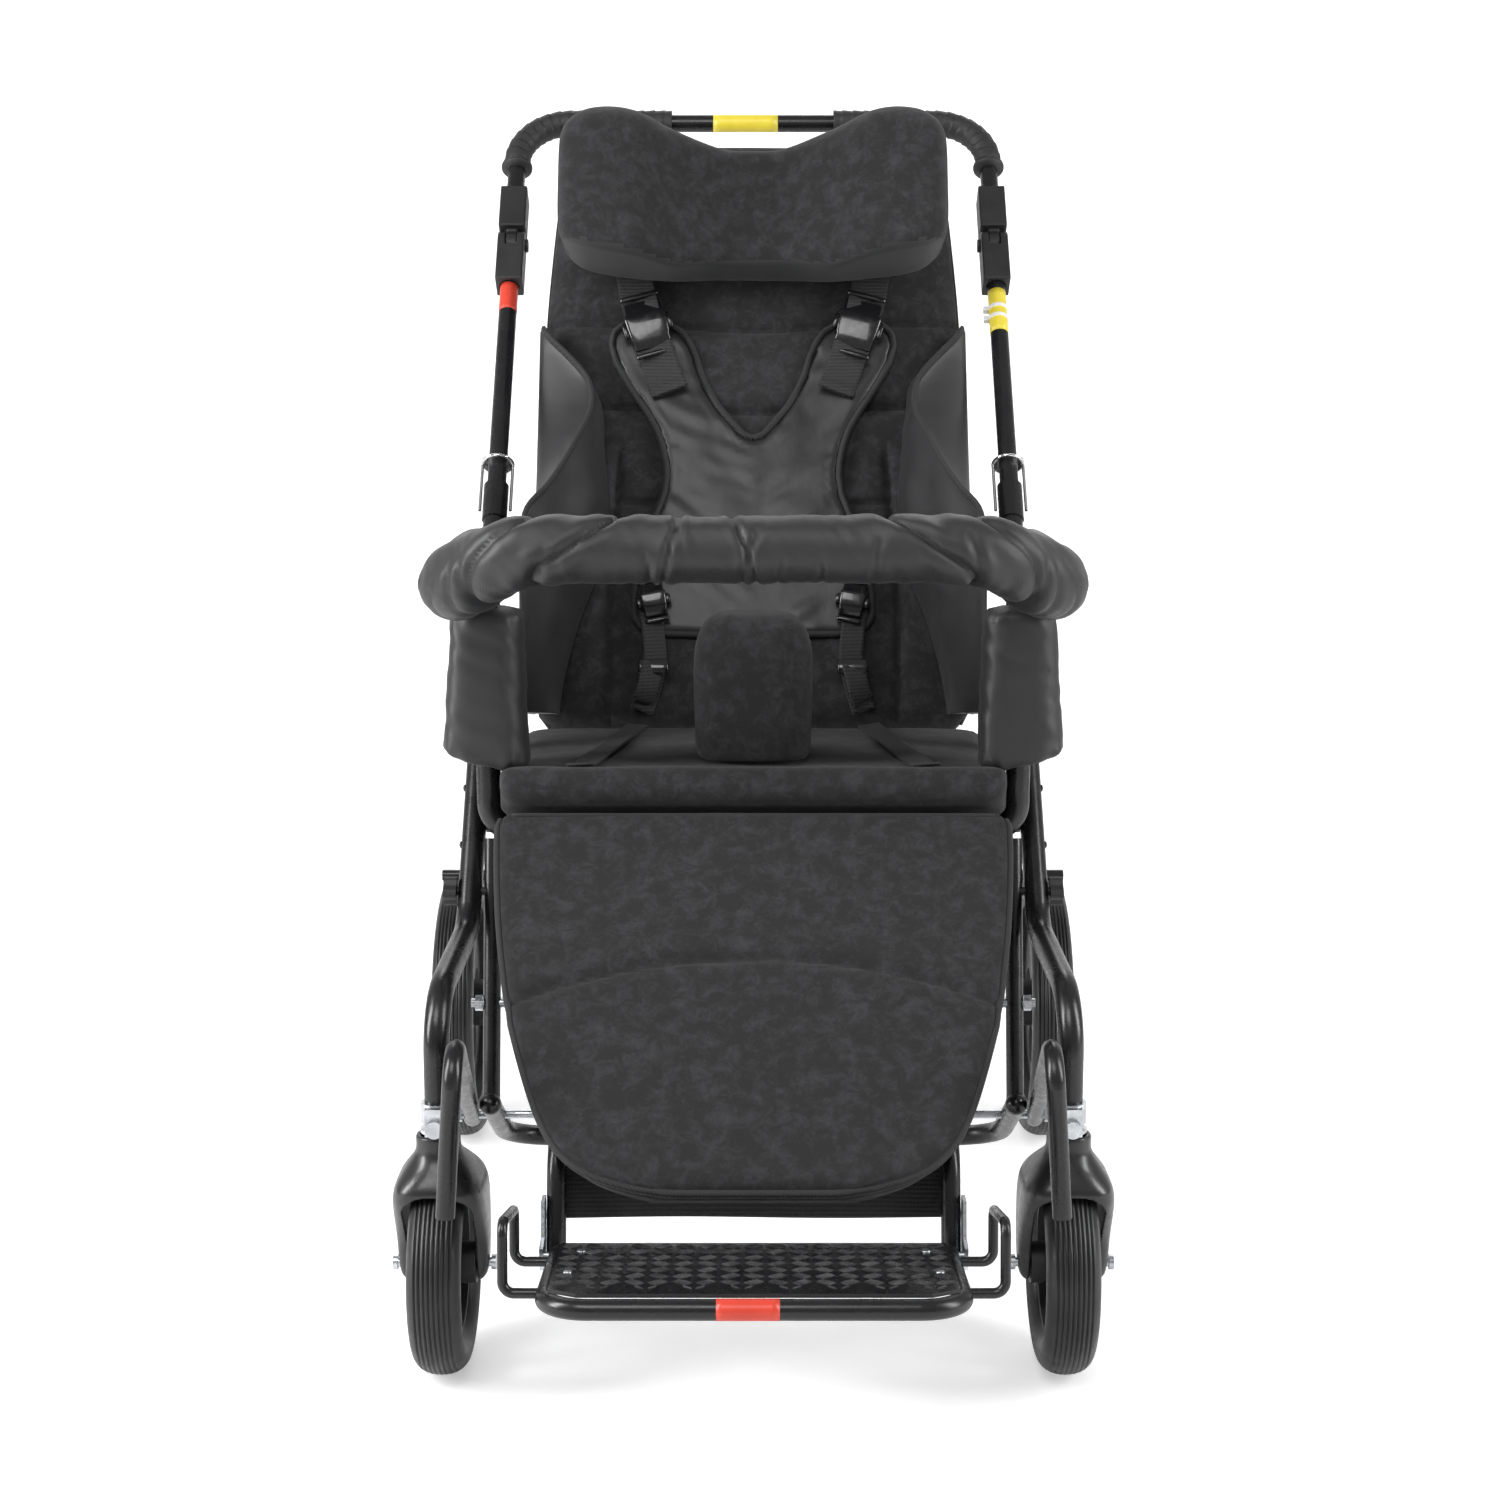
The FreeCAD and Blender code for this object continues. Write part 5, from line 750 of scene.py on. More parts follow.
# Caster forks
# Glossy moulded hoods over the small wheels: an open neck for the stem, smooth round shoulders,
# an arched slot, and two blades down to the axle.
FORK_HALF = (
    (80, 31), (84, 35.5), (90, 38), (108, 39.6), (154, 40.2), (169, 39.2), (176, 37.6), (183, 34.6),
    (192, 28.8), (200, 23.2), (206, 20), (211, 19), (221, 19),
)
FORK_FRONT = (
    (80, -249), (84, -254), (92, -257), (104, -260), (120, -265), (140, -279), (155, -291),
    (168, -300), (178, -302), (188, -297), (197, -290), (206, -285), (221, -284),
)
FORK_REAR = (
    (80, -231), (84, -226), (92, -224), (120, -218), (140, -212), (158, -207), (172, -206),
    (184, -212), (194, -222), (202, -233), (209, -243), (221, -246),
)
hood_plastic = finish("moulded_hood", (0.013, 0.013, 0.014), 0.3, Coat_Weight=0.15)
shine(hood_plastic, surface_noise(hood_plastic, 110), 0.26, 0.38)
relief(hood_plastic, surface_noise(hood_plastic, 2600, 2), 0.0001, 0.4)


def oval(x, y, z, wide, deep, power):
    """A level ring of points: round for a power of 1, squarer below it."""
    return [Vector((x + wide * c, y + deep * s, z)) for c, s in circle(72, power)]


for side, sign in SIDES:
    rings = []
    for n in range(48):
        z = 80 + 3.0 * n
        front, rear = between(FORK_FRONT, z), between(FORK_REAR, z)
        power = 0.55 + 0.45 * smoothstep(178, 210, z)
        middle, deep = (front + rear) / 2, (rear - front) / 2
        rings.append(oval(sign * CASTER_X, middle, z, between(FORK_HALF, z), deep, power))
    hood = loft(f"caster_fork_{side}", rings, hood_plastic)
    slot = [(0.5, -29.0), (66, -29.0)]
    turns = [math.pi / 2 * n / 8 for n in range(9)]
    slot += [(78 + 23 * math.sin(a), -6 - 23 * math.cos(a)) for a in turns]
    slot += [(r, -x) for r, x in reversed(slot)]
    hub = (sign * CASTER_X, CASTER_Y, CASTER_Z)
    arch = lathe(f"fork_arch_{side}", slot, hub, 96, hood_plastic)
    mouth = [oval(sign * CASTER_X, -265, z, 14.5, 14.5, 1.0) for z in (213, 226)]
    cup = loft(f"fork_cup_{side}", mouth, hood_plastic)
    for tool in (arch, cup):
        dig = hood.modifiers.new(tool.name, "BOOLEAN")
        dig.object = tool
        dig.solver = "EXACT"
    melt(hood, 0.0013, 9)
    for tool in (arch, cup):
        bpy.data.objects.remove(tool)
    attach(hood, f"caster_{side}")
    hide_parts(f"fork_{side}")

# Calf pad
# A boxed foam pad on the legrest in the suede, sewn round with ribbed binding, with an arched
# seam across its upper third. Its lower corners are cut away in a curve.
LEG_SLOPE = math.radians(51.5)


def on_leg(x, front, down):
    """A point of the legrest: across it, out from its line, and down along it."""
    lean, rise = math.sin(LEG_SLOPE), math.cos(LEG_SLOPE)
    return Vector((x, -116 - front * rise - down * lean, 446 + front * lean - down * rise))


CALF_WIDTHS = [
    (w, 228 * part)
    for w, part in (
        (-19, 0.955), (-14, 0.985), (0, 1.0), (100, 0.965), (184, 0.91), (198, 0.895), (212, 0.885),
        (278, 0.80), (315, 0.735), (338, 0.665), (354, 0.57), (366, 0.42), (371, 0.30),
    )
]


def calf_point(t, w, front, pull=0.0):
    """A point over the pad: t across from -1 to 1, w down; pull draws it in from the outline."""
    half = between(CALF_WIDTHS, w)
    return on_leg(t * (half - pull), front, w)


def calf_face(t, w):
    """The calf pad's face: flat and full, rounded to its bound edge, dented along the seam."""
    x = t * between(CALF_WIDTHS, w)
    rim = min((1 - abs(t)) * between(CALF_WIDTHS, w), w + 19, 371 - w)
    edge = (1 - (1 - min(1.0, max(0.0, rim / 16))) ** 2.2) ** 0.5
    stand = 15.0 + 2.6 * (1 - t * t)
    arch = 146 + 46 * min(1.0, abs(x) / 208) ** 2.1
    off = w - arch
    stand -= 5.5 * bell(off, 4.0)
    stand += 0.9 * bell(abs(off) - 17, 11)
    stand += 1.0 * waver(x / 11, w / 30, 7) * bell(off, 14)
    stand += 0.9 * waver(x / 60, w / 50, 9)
    return 8.5 + (stand - 8.5) * edge


grid = [[(t, w) for t in crowded(-1, 1, 90, 0.35)] for w in crowded(-19, 371, 100, 0.3)]
front_skin = [[calf_point(t, w, calf_face(t, w)) for t, w in row] for row in grid]
rear_skin = []
for row in grid:
    back_row = []
    for t, w in row:
        inner_w = 371 - (371 - w) * (1 - 0.022) - 4 if w > 180 else w + 6 * (1 - (w + 19) / 199)
        back_row.append(calf_point(t, inner_w, -12.5, 5.0 + 0.03 * max(0.0, w - 200)))
    rear_skin.append(back_row)
wall = [[calf_point(t, w, -2.0, 1.0) for t, w in row] for row in grid]


calf = boxed("calf_cushion", [front_skin, wall, rear_skin], suede)
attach(calf, "legrest")
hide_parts("calf_pad")
rim_line = [calf_point(-1, w, 7.5) for w in range(-12, 371, 7)] + [calf_point(-1, 370.5, 7.5)]
rim_line += [calf_point(-1 + 2 * n / 24, 371, 7.5) for n in range(1, 24)]
rim_line += [calf_point(1, 370.5, 7.5)] + [calf_point(1, w, 7.5) for w in range(366, -13, -7)]
calf_edge = sleeve("calf_binding", rim_line, tape_ring(8, 6.5), 12, binding)
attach(calf_edge, "legrest")
top_line = [calf_point(-0.96 + 1.92 * n / 60, -13.5, 14.2) for n in range(61)]
top_edge = sleeve("calf_top_binding", top_line, tape_ring(3.5, 4.5), 12, binding)
top_edge.parent = calf_edge

# Seat cushion
# A flat foam cushion on the seat board in the same suede, rolled over the front edge.
# Its sides are closed by a low boxed border.
SEAT_FRONT = mirrored(((229, -100), (227, -110), (219, -116.5), (198, -118.5), (0, -119)))
rings = []
for x in crowded(-229, 229, 80, 1.0):
    side = (1 - (abs(x) / 229) ** 26) ** 0.5 if abs(x) < 229 else 0.0
    nose = between(SEAT_FRONT, x)
    roll = 17.2 * (0.35 + 0.65 * side) + 0.7 * waver(x / 40, 3, 8)
    top = 486 + 13.0 * side
    low = 466 - 10.5 * side
    tuck = min(1.0, (229 - abs(x)) / 8)
    rear = 165.5 - 3 * (1 - tuck)
    outline = [(rear, low + 1), (rear - 3, low), (-74, low), (-84, low + 1.5)]
    middle = Vector((nose + 17.4, 489.8))
    for n in range(22):
        a = math.radians(248 - 196 * n / 21)
        outline.append(middle + Vector((math.cos(a), math.sin(a))) * roll)
    outline += [(-82, top + 2.2 * side), (-72, top), (rear - 8, top), (rear, top - 8 * side - 1)]
    ring = []
    for y, z in even_ring([Vector(p) for p in outline], 150):
        swell = 0.9 * waver(x / 60, y / 50, 4) if z > 488 else 0.0
        ring.append(Vector((x, y, z + swell * side)))
    rings.append(ring)
seat = loft("seat_pad", rings, suede)
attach(seat, "frame")
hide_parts("seat_cushion")

# Pommel
# A thick rounded block of foam between the thighs, in the suede, with a smooth crown.
POMMEL_FOOT, POMMEL_TALL = 502.8, 133.6
rings = []
for n in range(61):
    t = n / 60
    bunch = 0.5 - 0.5 * math.cos(math.pi * t)
    z = POMMEL_FOOT + POMMEL_TALL * bunch * 0.55 + POMMEL_TALL * t * 0.45
    foot = (1 - max(0.0, 1 - (z - POMMEL_FOOT) / 9.0) ** 2.2) ** 0.5
    crown = (1 - max(0.0, (z - 586) / 50.5) ** 2.5) ** (1 / 2.5) if z < 636.4 else 0.0
    grow = min(1.0, 0.90 + 0.10 * foot) * (0.34 + 0.66 * crown)
    wide = 55 * (0.975 + 0.025 * smoothstep(503, 560, z)) * grow
    deep = 46 * grow
    ring = []
    for (c, s), (a, b) in zip(circle(72), circle(72, 0.62)):
        swell = 1 + 0.008 * waver(c * 1.5, s * 1.5, z / 40)
        ring.append(Vector((wide * a * swell, -12 + deep * b * swell, z)))
    rings.append(ring)
pommel = loft("pommel_block", rings, suede)
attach(pommel, "pommel")
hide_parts("pommel_pad")

# Post pads
# Twill covers filled with foam, pulled over the arm posts and closed by a seam at the rear inner
# corner. Their lower end is gathered.
PAD_LOW, PAD_HIGH = 503, 646
for side, sign in SIDES:
    rings = []
    for n in range(57):
        t = n / 56
        z = PAD_LOW + (PAD_HIGH - PAD_LOW) * t
        end = (1 - (1 - min(1.0, min(z - PAD_LOW, PAD_HIGH - z) / 13.0)) ** 2.6) ** 0.5
        grow = 0.6 + 0.4 * end
        wide, deep = (39.0 - 7.0 * t) * grow, 30 * grow
        pinch = smoothstep(528, 506, z) + smoothstep(622, 644, z)
        ring = []
        for m, ((c, s), (a, b)) in enumerate(zip(circle(72), circle(72, 0.6))):
            swell = 0.8 * math.sin(math.pi * m / 4 + 1.3 * sign) * pinch
            swell += 1.3 * waver(c * 1.2, s * 1.2 + 5 * sign, z / 45)
            swell += 0.9 * waver((z + 26 * c) / 13, (z - 30 * s) / 60, 3 * sign)
            x = sign * (243.5 - 3.0 * t) + (wide + swell) * a
            ring.append(Vector((x, -60 + (deep + swell) * b, z + 9.0 * (1 - t) ** 2 * sign * c)))
        rings.append(ring)
    pad = loft(f"post_pad_{side}", rings, twill)
    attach(pad, "frame")
    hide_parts("post_pads")

# Bumper sleeve
# A quilted twill tube full of wadding, zipped round the bumper tube. Curved seams cross it at
# both corners and puckers run round it in the middle.
BUMP_LINE = bent(
    [
        (-260, 55, 680), (-260, -150, 680), (-195, -222, 713),
        (195, -222, 713), (260, -150, 680), (260, 55, 680),
    ],
    [62, 70, 70, 62],
    3.0,
)
run_ends = [0.0]
for a, b in zip(BUMP_LINE, BUMP_LINE[1:]):
    run_ends.append(run_ends[-1] + (b - a).length)
BUMP_LONG = run_ends[-1]
BUMP_HALF = BUMP_LONG / 2


def bumper_ring(run, a):
    """The sleeve's radius: a full tube with dents along its seams and puckers. a = 0 is its top."""
    off = run - BUMP_HALF
    far = abs(off)
    level, outward = math.cos(a), math.sin(a)
    r = 28.0 + 1.1 * waver(run / 34, level * 1.4, outward * 1.4)
    r += 0.7 * waver((run + 18 * level) / 9, (run - 18 * outward) / 40, 4)
    r += 2.6 * bell(far - 262, 62)
    r += 6.5 * bell(far - 330, 75) * max(0.0, 0.25 - level) ** 0.8
    for seam, slant, deep in ((147, 38, 5.2), (213, 34, 4.6)):
        line = far - seam + slant * level
        r -= deep * bell(line, 3.4)
        r += 1.8 * bell(abs(line) - 17, 11)
        pucker = math.sin(run / 3.1 + 5 * level) * bell(line, 12)
        r += 0.5 * pucker
    for fold, lean, deep, low, high in (
        (-68, 7, 3.0, -1, 1), (-60, -5, 1.8, -0.2, 1), (-92, -6, 2.2, -1, -0.3),
        (-80, 5, 1.4, -1, -0.5), (-8, -10, 3.4, -1, 1), (0, 9, 2.2, -1, 0.4),
        (26, 5, 1.6, -1, -0.5), (54, -4, 2.0, -1, -0.5), (104, 5, 1.6, -0.9, 0.1),
        (-168, 12, 1.8, -1, 0.2), (176, -9, 2.4, -0.9, 0.3),
    ):
        line = off - fold - lean * level
        near = smoothstep(low - 0.25, low + 0.15, level)
        near *= smoothstep(high + 0.25, high - 0.15, level)
        r -= deep * near * bell(line, 2.2)
        r += 0.35 * deep * near * bell(abs(line) - 6.5, 3.5)
    if 180 < far < 420:
        for fold, lean in ((238, 16), (256, 24), (279, 30), (305, 34), (340, 30)):
            line = far - fold + lean * (level + 0.35)
            near = smoothstep(0.25, -0.35, level) * (0.45 + 0.55 * max(0.0, outward))
            r -= 2.6 * near * bell(line, 2.8)
            r += 0.8 * near * bell(abs(line) - 8, 4.5)
    end = min(run, BUMP_LONG - run)
    return r * (0.72 + 0.28 * (1 - max(0.0, 1 - end / 12) ** 2.4) ** 0.5)


bumper = sleeve("quilted_bumper", BUMP_LINE, bumper_ring, 64, twill)
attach(bumper, "bumper")
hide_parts("bumper_sleeve")

# Harness vest
# A four-point chest vest of slick nylon over thin foam, cut like a butterfly and bound all round.
# Webbing straps hold it at the shoulders, the sides and the hips.
VEST_HALF = (
    (0, 331), (9, 334), (22, 348), (36, 366), (47, 386), (54, 402), (59, 420), (66, 438), (76, 452),
    (92, 461), (115, 464), (135, 460), (146, 450), (148, 436), (143, 416), (134, 399), (125, 383),
    (116, 369), (107, 354), (99.5, 340), (94, 324), (90, 304), (89, 288), (92, 268), (101, 244),
    (112, 222), (118, 190), (121, 158), (121, 136), (112, 122), (92, 118), (60, 117), (0, 117),
)
VEST_LOOP = [Vector(p) for p in VEST_HALF] + [Vector((-x, u)) for x, u in VEST_HALF[-2:0:-1]]
vest_edge = even_ring(VEST_LOOP, 260)


def vest_stand(x, u):
    """How far the vest stands from the backrest's board at a point."""
    rise = 56.2 + 2.2 * waver(x / 45, u / 55, 2)
    rise += 1.5 * waver((u - 0.6 * abs(x)) / 15, (abs(x) + 0.6 * u) / 70, 6 + x / 50)
    rise += 1.8 * bell(u - 300, 70) * (1 - (x / 160) ** 2)
    return max(56.0, rise)


def inside(outline, x, u):
    """Whether a point lies inside a closed outline."""
    hit = False
    for a, b in zip(outline, outline[1:] + outline[:1]):
        if (a[1] > u) != (b[1] > u) and x < (b[0] - a[0]) * (u - a[1]) / (b[1] - a[1]) + a[0]:
            hit = not hit
    return hit


def gap_to(outline, x, u):
    """How far a point is from a closed outline."""
    spot = Vector((x, u))
    best = 1e9
    for a, b in zip(outline, outline[1:] + outline[:1]):
        run = b - a
        t = max(0.0, min(1.0, (spot - a).dot(run) / max(1e-9, run.dot(run))))
        best = min(best, (a + run * t - spot).length)
    return best


def filled_plate(name, outline, pitch, place, front, rear, mat):
    """A closed panel cut to an outline, with a fine net of points inside it."""
    low = [min(p[n] for p in outline) for n in (0, 1)]
    high = [max(p[n] for p in outline) for n in (0, 1)]
    points = list(outline)
    y = low[1] + pitch
    odd = 0
    while y < high[1]:
        x = low[0] + pitch * (0.5 + 0.5 * odd)
        while x < high[0]:
            if inside(outline, x, y) and gap_to(outline, x, y) > pitch * 0.6:
                points.append(Vector((x, y)))
            x += pitch
        y, odd = y + pitch * 0.87, 1 - odd
    ring = [(n, (n + 1) % len(outline)) for n in range(len(outline))]
    flat, _, faces, *_ = delaunay_2d_cdt(points, ring, [list(range(len(outline)))], 1, 1e-4)
    verts, skins = [], []
    for layer, stand in ((0, front), (len(flat), rear)):
        for spot in flat:
            gap = gap_to(outline, spot.x, spot.y)
            verts.append(place(spot.x, stand(spot.x, spot.y, gap), spot.y))
        skins += [tuple(layer + n for n in (f if layer else reversed(f))) for f in faces]
    for n in range(len(outline)):
        k = (n + 1) % len(outline)
        skins.append((n, k, len(flat) + k, len(flat) + n))
    return mesh_piece(name, verts, skins, mat)


vest_cloth = finish(
    "slick_vest_nylon", (0.014, 0.014, 0.015), 0.40, Sheen_Weight=0.04, Sheen_Roughness=0.4
)
tint(vest_cloth, surface_noise(vest_cloth, 26, 4), (0.009, 0.009, 0.010), (0.016, 0.016, 0.017))
relief(vest_cloth, surface_noise(vest_cloth, 22, 4, (1.6, 1, 1)), 0.0016, 0.4)


def vest_front(x, u, gap):
    """The vest's face: rounded to its edge, with a stitch line 13 mm inside it."""
    line = 1.0 * bell(gap - 13, 1.6)
    return vest_stand(x, u) + 3.6 * min(1.0, gap / 7) ** 0.5 - line


vest = filled_plate(
    "harness_vest_panel",
    vest_edge,
    6.0,
    on_back,
    vest_front,
    lambda x, u, gap: vest_stand(x, u) - 0.4,
    vest_cloth,
)
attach(vest, "backrest")
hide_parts("harness_vest")
vest_line = [on_back(p.x, vest_stand(p.x, p.y) + 1.6, p.y) for p in vest_edge]
vest_line.append(vest_line[0])
vest_bound = sleeve("vest_binding", vest_line, tape_ring(6.5, 6.5), 10, binding, "open")
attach(vest_bound, "backrest")

# Harness straps and buckles
# Woven webbing with glossy side-release buckles at both shoulders and small ones at the hips.
# The loose tails hang over the vest, and a lap strap runs over the seat on each side.
webbing = finish("woven_webbing", (0.014, 0.014, 0.015), 0.75, Sheen_Weight=0.05)
for direction, size in (("X", 260), ("Z", 90)):
    yarn = surface_waves(webbing, direction, size, 0.8)
    relief(webbing, yarn, 0.0005, 0.6)
tint(webbing, yarn, (0.009, 0.009, 0.010), (0.021, 0.021, 0.022), 0.15, 0.85)
buckle_plastic = finish("gloss_buckle", (0.008, 0.008, 0.009), 0.18, Coat_Weight=0.3)
shine(buckle_plastic, surface_noise(buckle_plastic, 150), 0.12, 0.26)


def strap(name, line, wide, thick, side_way):
    """A flat ribbon along a line; side_way points across it, and its edges are rounded."""
    rings = []
    shape = (
        (-0.5, -0.5), (-0.5, 0.5), (-0.47, 0.62), (-0.38, 0.5), (-0.12, 0.5), (0.12, 0.5),
        (0.38, 0.5), (0.47, 0.62), (0.5, 0.5), (0.5, -0.5), (0.4, -0.6), (0.0, -0.5), (-0.4, -0.6),
    )
    for n, point in enumerate(line):
        ahead = (line[min(n + 1, len(line) - 1)] - line[max(n - 1, 0)]).normalized()
        across = (side_way - ahead * side_way.dot(ahead)).normalized()
        up = across.cross(ahead)
        rings.append([point + across * (a * wide) + up * (b * thick) for a, b in shape])
    return loft(name, rings, webbing)


def flowing(points, step=4.0):
    """A smooth line through points."""
    spots = [Vector(p) for p in points]
    line = []
    for n in range(len(spots) - 1):
        a, b = spots[n], spots[n + 1]
        before, after = spots[max(n - 1, 0)], spots[min(n + 2, len(spots) - 1)]
        count = max(2, int((b - a).length / step))
        line += [eased(k / count, a, b, (b - before) / 2, (after - a) / 2) for k in range(count)]
    line.append(spots[-1])
    return line


def along_back(sign, points, step=4.0):
    """A smooth line over one side of the backrest through (x, front, up) points."""
    return [on_back(*p) for p in flowing([(sign * x, front, up) for x, front, up in points], step)]


def moulded_block(name, place, rows, around=20):
    """A smooth moulded body from (up, half width, half depth, roundness) rows."""
    rings = []
    for up, wide, deep, power in rows:
        rings.append([place(wide * c, deep * s, up) for c, s in circle(around * 2, power)])
    return loft(name, rings, buckle_plastic)


def buckle(name, x, stand, up, wide, tall, tilt):
    """A side-release buckle: its body, a bar for the strap at each end, and two side latches."""
    half, part = wide / 2, tall / 50

    def place(a, b, c):
        turn = Vector((a, c)) @ Matrix.Rotation(tilt, 2)
        return on_back(x + turn.x, stand + b, up + turn.y)

    socket = moulded_block(
        name,
        place,
        [
            (-25 * part, half * 0.80, 2.2, 0.3), (-24 * part, half * 0.86, 3.4, 0.3),
            (-14 * part, half * 0.86, 4.0, 0.35), (-12 * part, half * 0.92, 4.9, 0.35),
            (8 * part, half, 5.4, 0.4), (12 * part, half, 5.2, 0.4),
            (13 * part, half * 0.9, 4.2, 0.4), (24 * part, half * 0.84, 3.4, 0.3),
            (25 * part, half * 0.80, 2.2, 0.3),
        ],
    )
    for level, rail in ((-31, "lower"), (31, "upper")):
        bar = moulded_block(
            f"{name}_{rail}_bar",
            lambda a, b, c: place(a, b + 1.0, level * part + c),
            [
                (-2.6, half * 0.86, 1.2, 0.5), (-1.8, half * 0.92, 2.6, 0.6),
                (1.8, half * 0.92, 2.6, 0.6), (2.6, half * 0.86, 1.2, 0.5),
            ],
            10,
        )
        bar.parent = socket
    for way, letter in ((-1, "a"), (1, "b")):
        latch = moulded_block(
            f"{name}_latch_{letter}",
            lambda a, b, c: place(way * (half + 1.2) + a, b, c),
            [
                (-9 * part, 1.0, 2.0, 0.5), (-7 * part, 2.4, 3.2, 0.5),
                (4 * part, 3.0, 3.2, 0.5), (8 * part, 1.2, 2.0, 0.5),
            ],
            8,
        )
        latch.parent = socket
    return socket


SHOULDER_LINE = (
    (113, 64, 460), (117, 71, 470), (119, 72, 478), (121, 64, 488), (124, 62, 505), (128, 60, 530),
)
TAIL_LINE = (
    (105, 64.5, 434), (103.5, 71.5, 429), (101, 72, 423), (98, 67.6, 414), (92, 66.4, 396),
    (86, 66.6, 379),
)
HIP_LINE = (
    (103, 63, 138), (101, 66, 116), (99, 68, 94), (101, 66, 74), (106, 61, 54), (112, 58.5, 36),
)
LAP_LINE = (
    (116, 156, 502), (118, 149, 501.6), (125, 110, 501.2), (133, 60, 501.6), (141, 10, 502),
    (149, -36, 502.6), (154, -70, 503.2), (157, -88, 507),
)
straps, buckles = [], []
for side, sign in SIDES:
    lean = Vector((1, 0.12 * sign, -0.28 * sign))
    upper = along_back(sign, SHOULDER_LINE)
    straps.append(strap(f"shoulder_strap_{side}", upper, 38, 2.4, lean))
    tail = along_back(sign, TAIL_LINE)
    straps.append(strap(f"strap_tail_{side}", tail, 38, 2.2, lean))
    hem = along_back(sign, [(88.5, 69.4, 387), (86, 69.8, 379)], 2.0)
    straps.append(strap(f"strap_tail_hem_{side}", hem, 39, 3.0, lean))
    hip = along_back(sign, HIP_LINE)
    straps.append(strap(f"hip_strap_{side}", hip, 24, 2.2, Vector((1, 0.3, 0.25 * sign))))
    loose = along_back(sign, [(101, 70, 82), (104, 74, 66), (107, 72, 52), (112, 66, 44)])
    straps.append(strap(f"hip_tail_{side}", loose, 23, 2.0, Vector((1, 0.5, 0.3 * sign))))
    bar = moulded_block(
        f"hip_slider_{side}",
        lambda a, b, c: on_back(sign * 100.5 + a, 69.5 + b, 79 + c),
        [(-8, 14, 1.6, 0.4), (-7, 15.5, 3.2, 0.4), (7, 15.5, 3.2, 0.4), (8, 14, 1.6, 0.4)],
        10,
    )
    buckles.append(bar)
    lap_line = flowing([(sign * x, y, z) for x, y, z in LAP_LINE])
    belt = strap(f"lap_strap_{side}", lap_line, 24, 2.0, Vector((1, 0.15 * sign, 0.05)))
    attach(belt, "frame")
    buckles += [
        buckle(f"shoulder_buckle_{side}", sign * 110.5, 71.0, 453, 45, 54, sign * 0.28),
        buckle(f"hip_buckle_{side}", sign * 101, 67.5, 150, 27, 34, sign * 0.2),
    ]
for piece in straps:
    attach(piece, "backrest")
for piece in buckles:
    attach(piece, "backrest")
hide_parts("harness_straps")
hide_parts("harness_buckles")

# Heel strap
# A wide band of soft webbing behind the ankles, stretched between the legrest's tubes and sewn
# round them at both ends.
HEEL_TOP, HEEL_LOW = Vector((0, -353.5, 227.3)), Vector((0, -372.0, 152.0))


def heel_point(x, z, off):
    """A point of the heel strap's plane, off in front of the legrest's tubes."""
    run = HEEL_LOW - HEEL_TOP
    part = (HEEL_TOP.z - z) / (HEEL_TOP.z - HEEL_LOW.z)
    out = Vector((0, run.z, -run.y)).normalized()
    return Vector((x, 0, 0)) + HEEL_TOP + run * part + out * off


HEEL_HALF, HEEL_HIGH, HEEL_WIDE, HEEL_SAG = 167, 225, 43, 3.0
rings = []
for n in range(85):
    x = HEEL_HALF * (n / 42 - 1)
    sag = HEEL_SAG * (1 - (x / HEEL_HALF) ** 2)
    ring = []
    for a, b in (
        (0, 0), (0, 1), (0.04, 1.25), (0.08, 1), (0.3, 1), (0.5, 1), (0.7, 1), (0.92, 1),
        (0.96, 1.25), (1, 1), (1, 0), (0.96, -0.2), (0.5, 0), (0.04, -0.2),
    ):
        z = HEEL_HIGH - HEEL_WIDE * a - 0.6 * math.sin(x / 40)
        ring.append(heel_point(x, z, -10.7 - sag + (b - 0.5) * 2.2))
    rings.append(ring)
heel = loft("heel_band", rings, webbing)
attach(heel, "legrest")
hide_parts("heel_strap")

# Footplate tread
# A pressed plate in black with raised bars in groups of five, riveted to the plate's frame.
PLATE_TILT = math.radians(7.5)
TREAD_TOP = 11.3


def on_plate(x, back, up):
    """A point of the footplate: across it, back from its hinge line and up from its tubes."""
    drop, level = math.sin(PLATE_TILT), math.cos(PLATE_TILT)
    return Vector((x, -392 + back * level + up * drop, 162 - back * drop + up * level))


dress(powder, "footplate_tread")
BAR_CORNERS = (
    (-1, 0, 0), (-0.6, -1, 0), (0.6, -1, 0), (1, 0, 0), (0.6, 1, 0), (-0.6, 1, 0), (-0.6, 0, 1.0),
    (0.6, 0, 1.0),
)
BAR_FACES = (
    (0, 1, 6), (1, 2, 7, 6), (2, 3, 7), (3, 4, 7), (4, 5, 6, 7), (5, 0, 6), (5, 4, 3, 2, 1, 0),
)
verts, faces = [], []
for row in range(8):
    for column in range(-8, 9):
        cx, cy = column * 18.0, -15 - row * 18.0
        turn = math.radians(45 if (row + column) % 2 else -45)
        for n in range(-2, 3):
            long = 6.6 - 0.5 * abs(n)
            mx, my = cx - n * 2.9 * math.sin(turn), cy + n * 2.9 * math.cos(turn)
            if my < -138 or my > -7 or (my < -128 and abs(mx) > 140):
                continue
            start = len(verts)
            for a, b, up in BAR_CORNERS:
                x = mx + a * long * math.cos(turn) - b * 0.95 * math.sin(turn)
                y = my + a * long * math.sin(turn) + b * 0.95 * math.cos(turn)
                verts.append(on_plate(x, y, TREAD_TOP - 0.15 + up))
            for face in BAR_FACES:
                faces.append(tuple(start + k for k in face))
# The raised bars are coloured a lighter grey than the black plate. This is a painted highlight that
# stands in for light catching their ridges.
bar_highlight_paint = finish("tread_bar_painted_highlight", (0.02, 0.02, 0.021), 0.2, 0.35)
shine(bar_highlight_paint, surface_noise(bar_highlight_paint, 260), 0.14, 0.3)
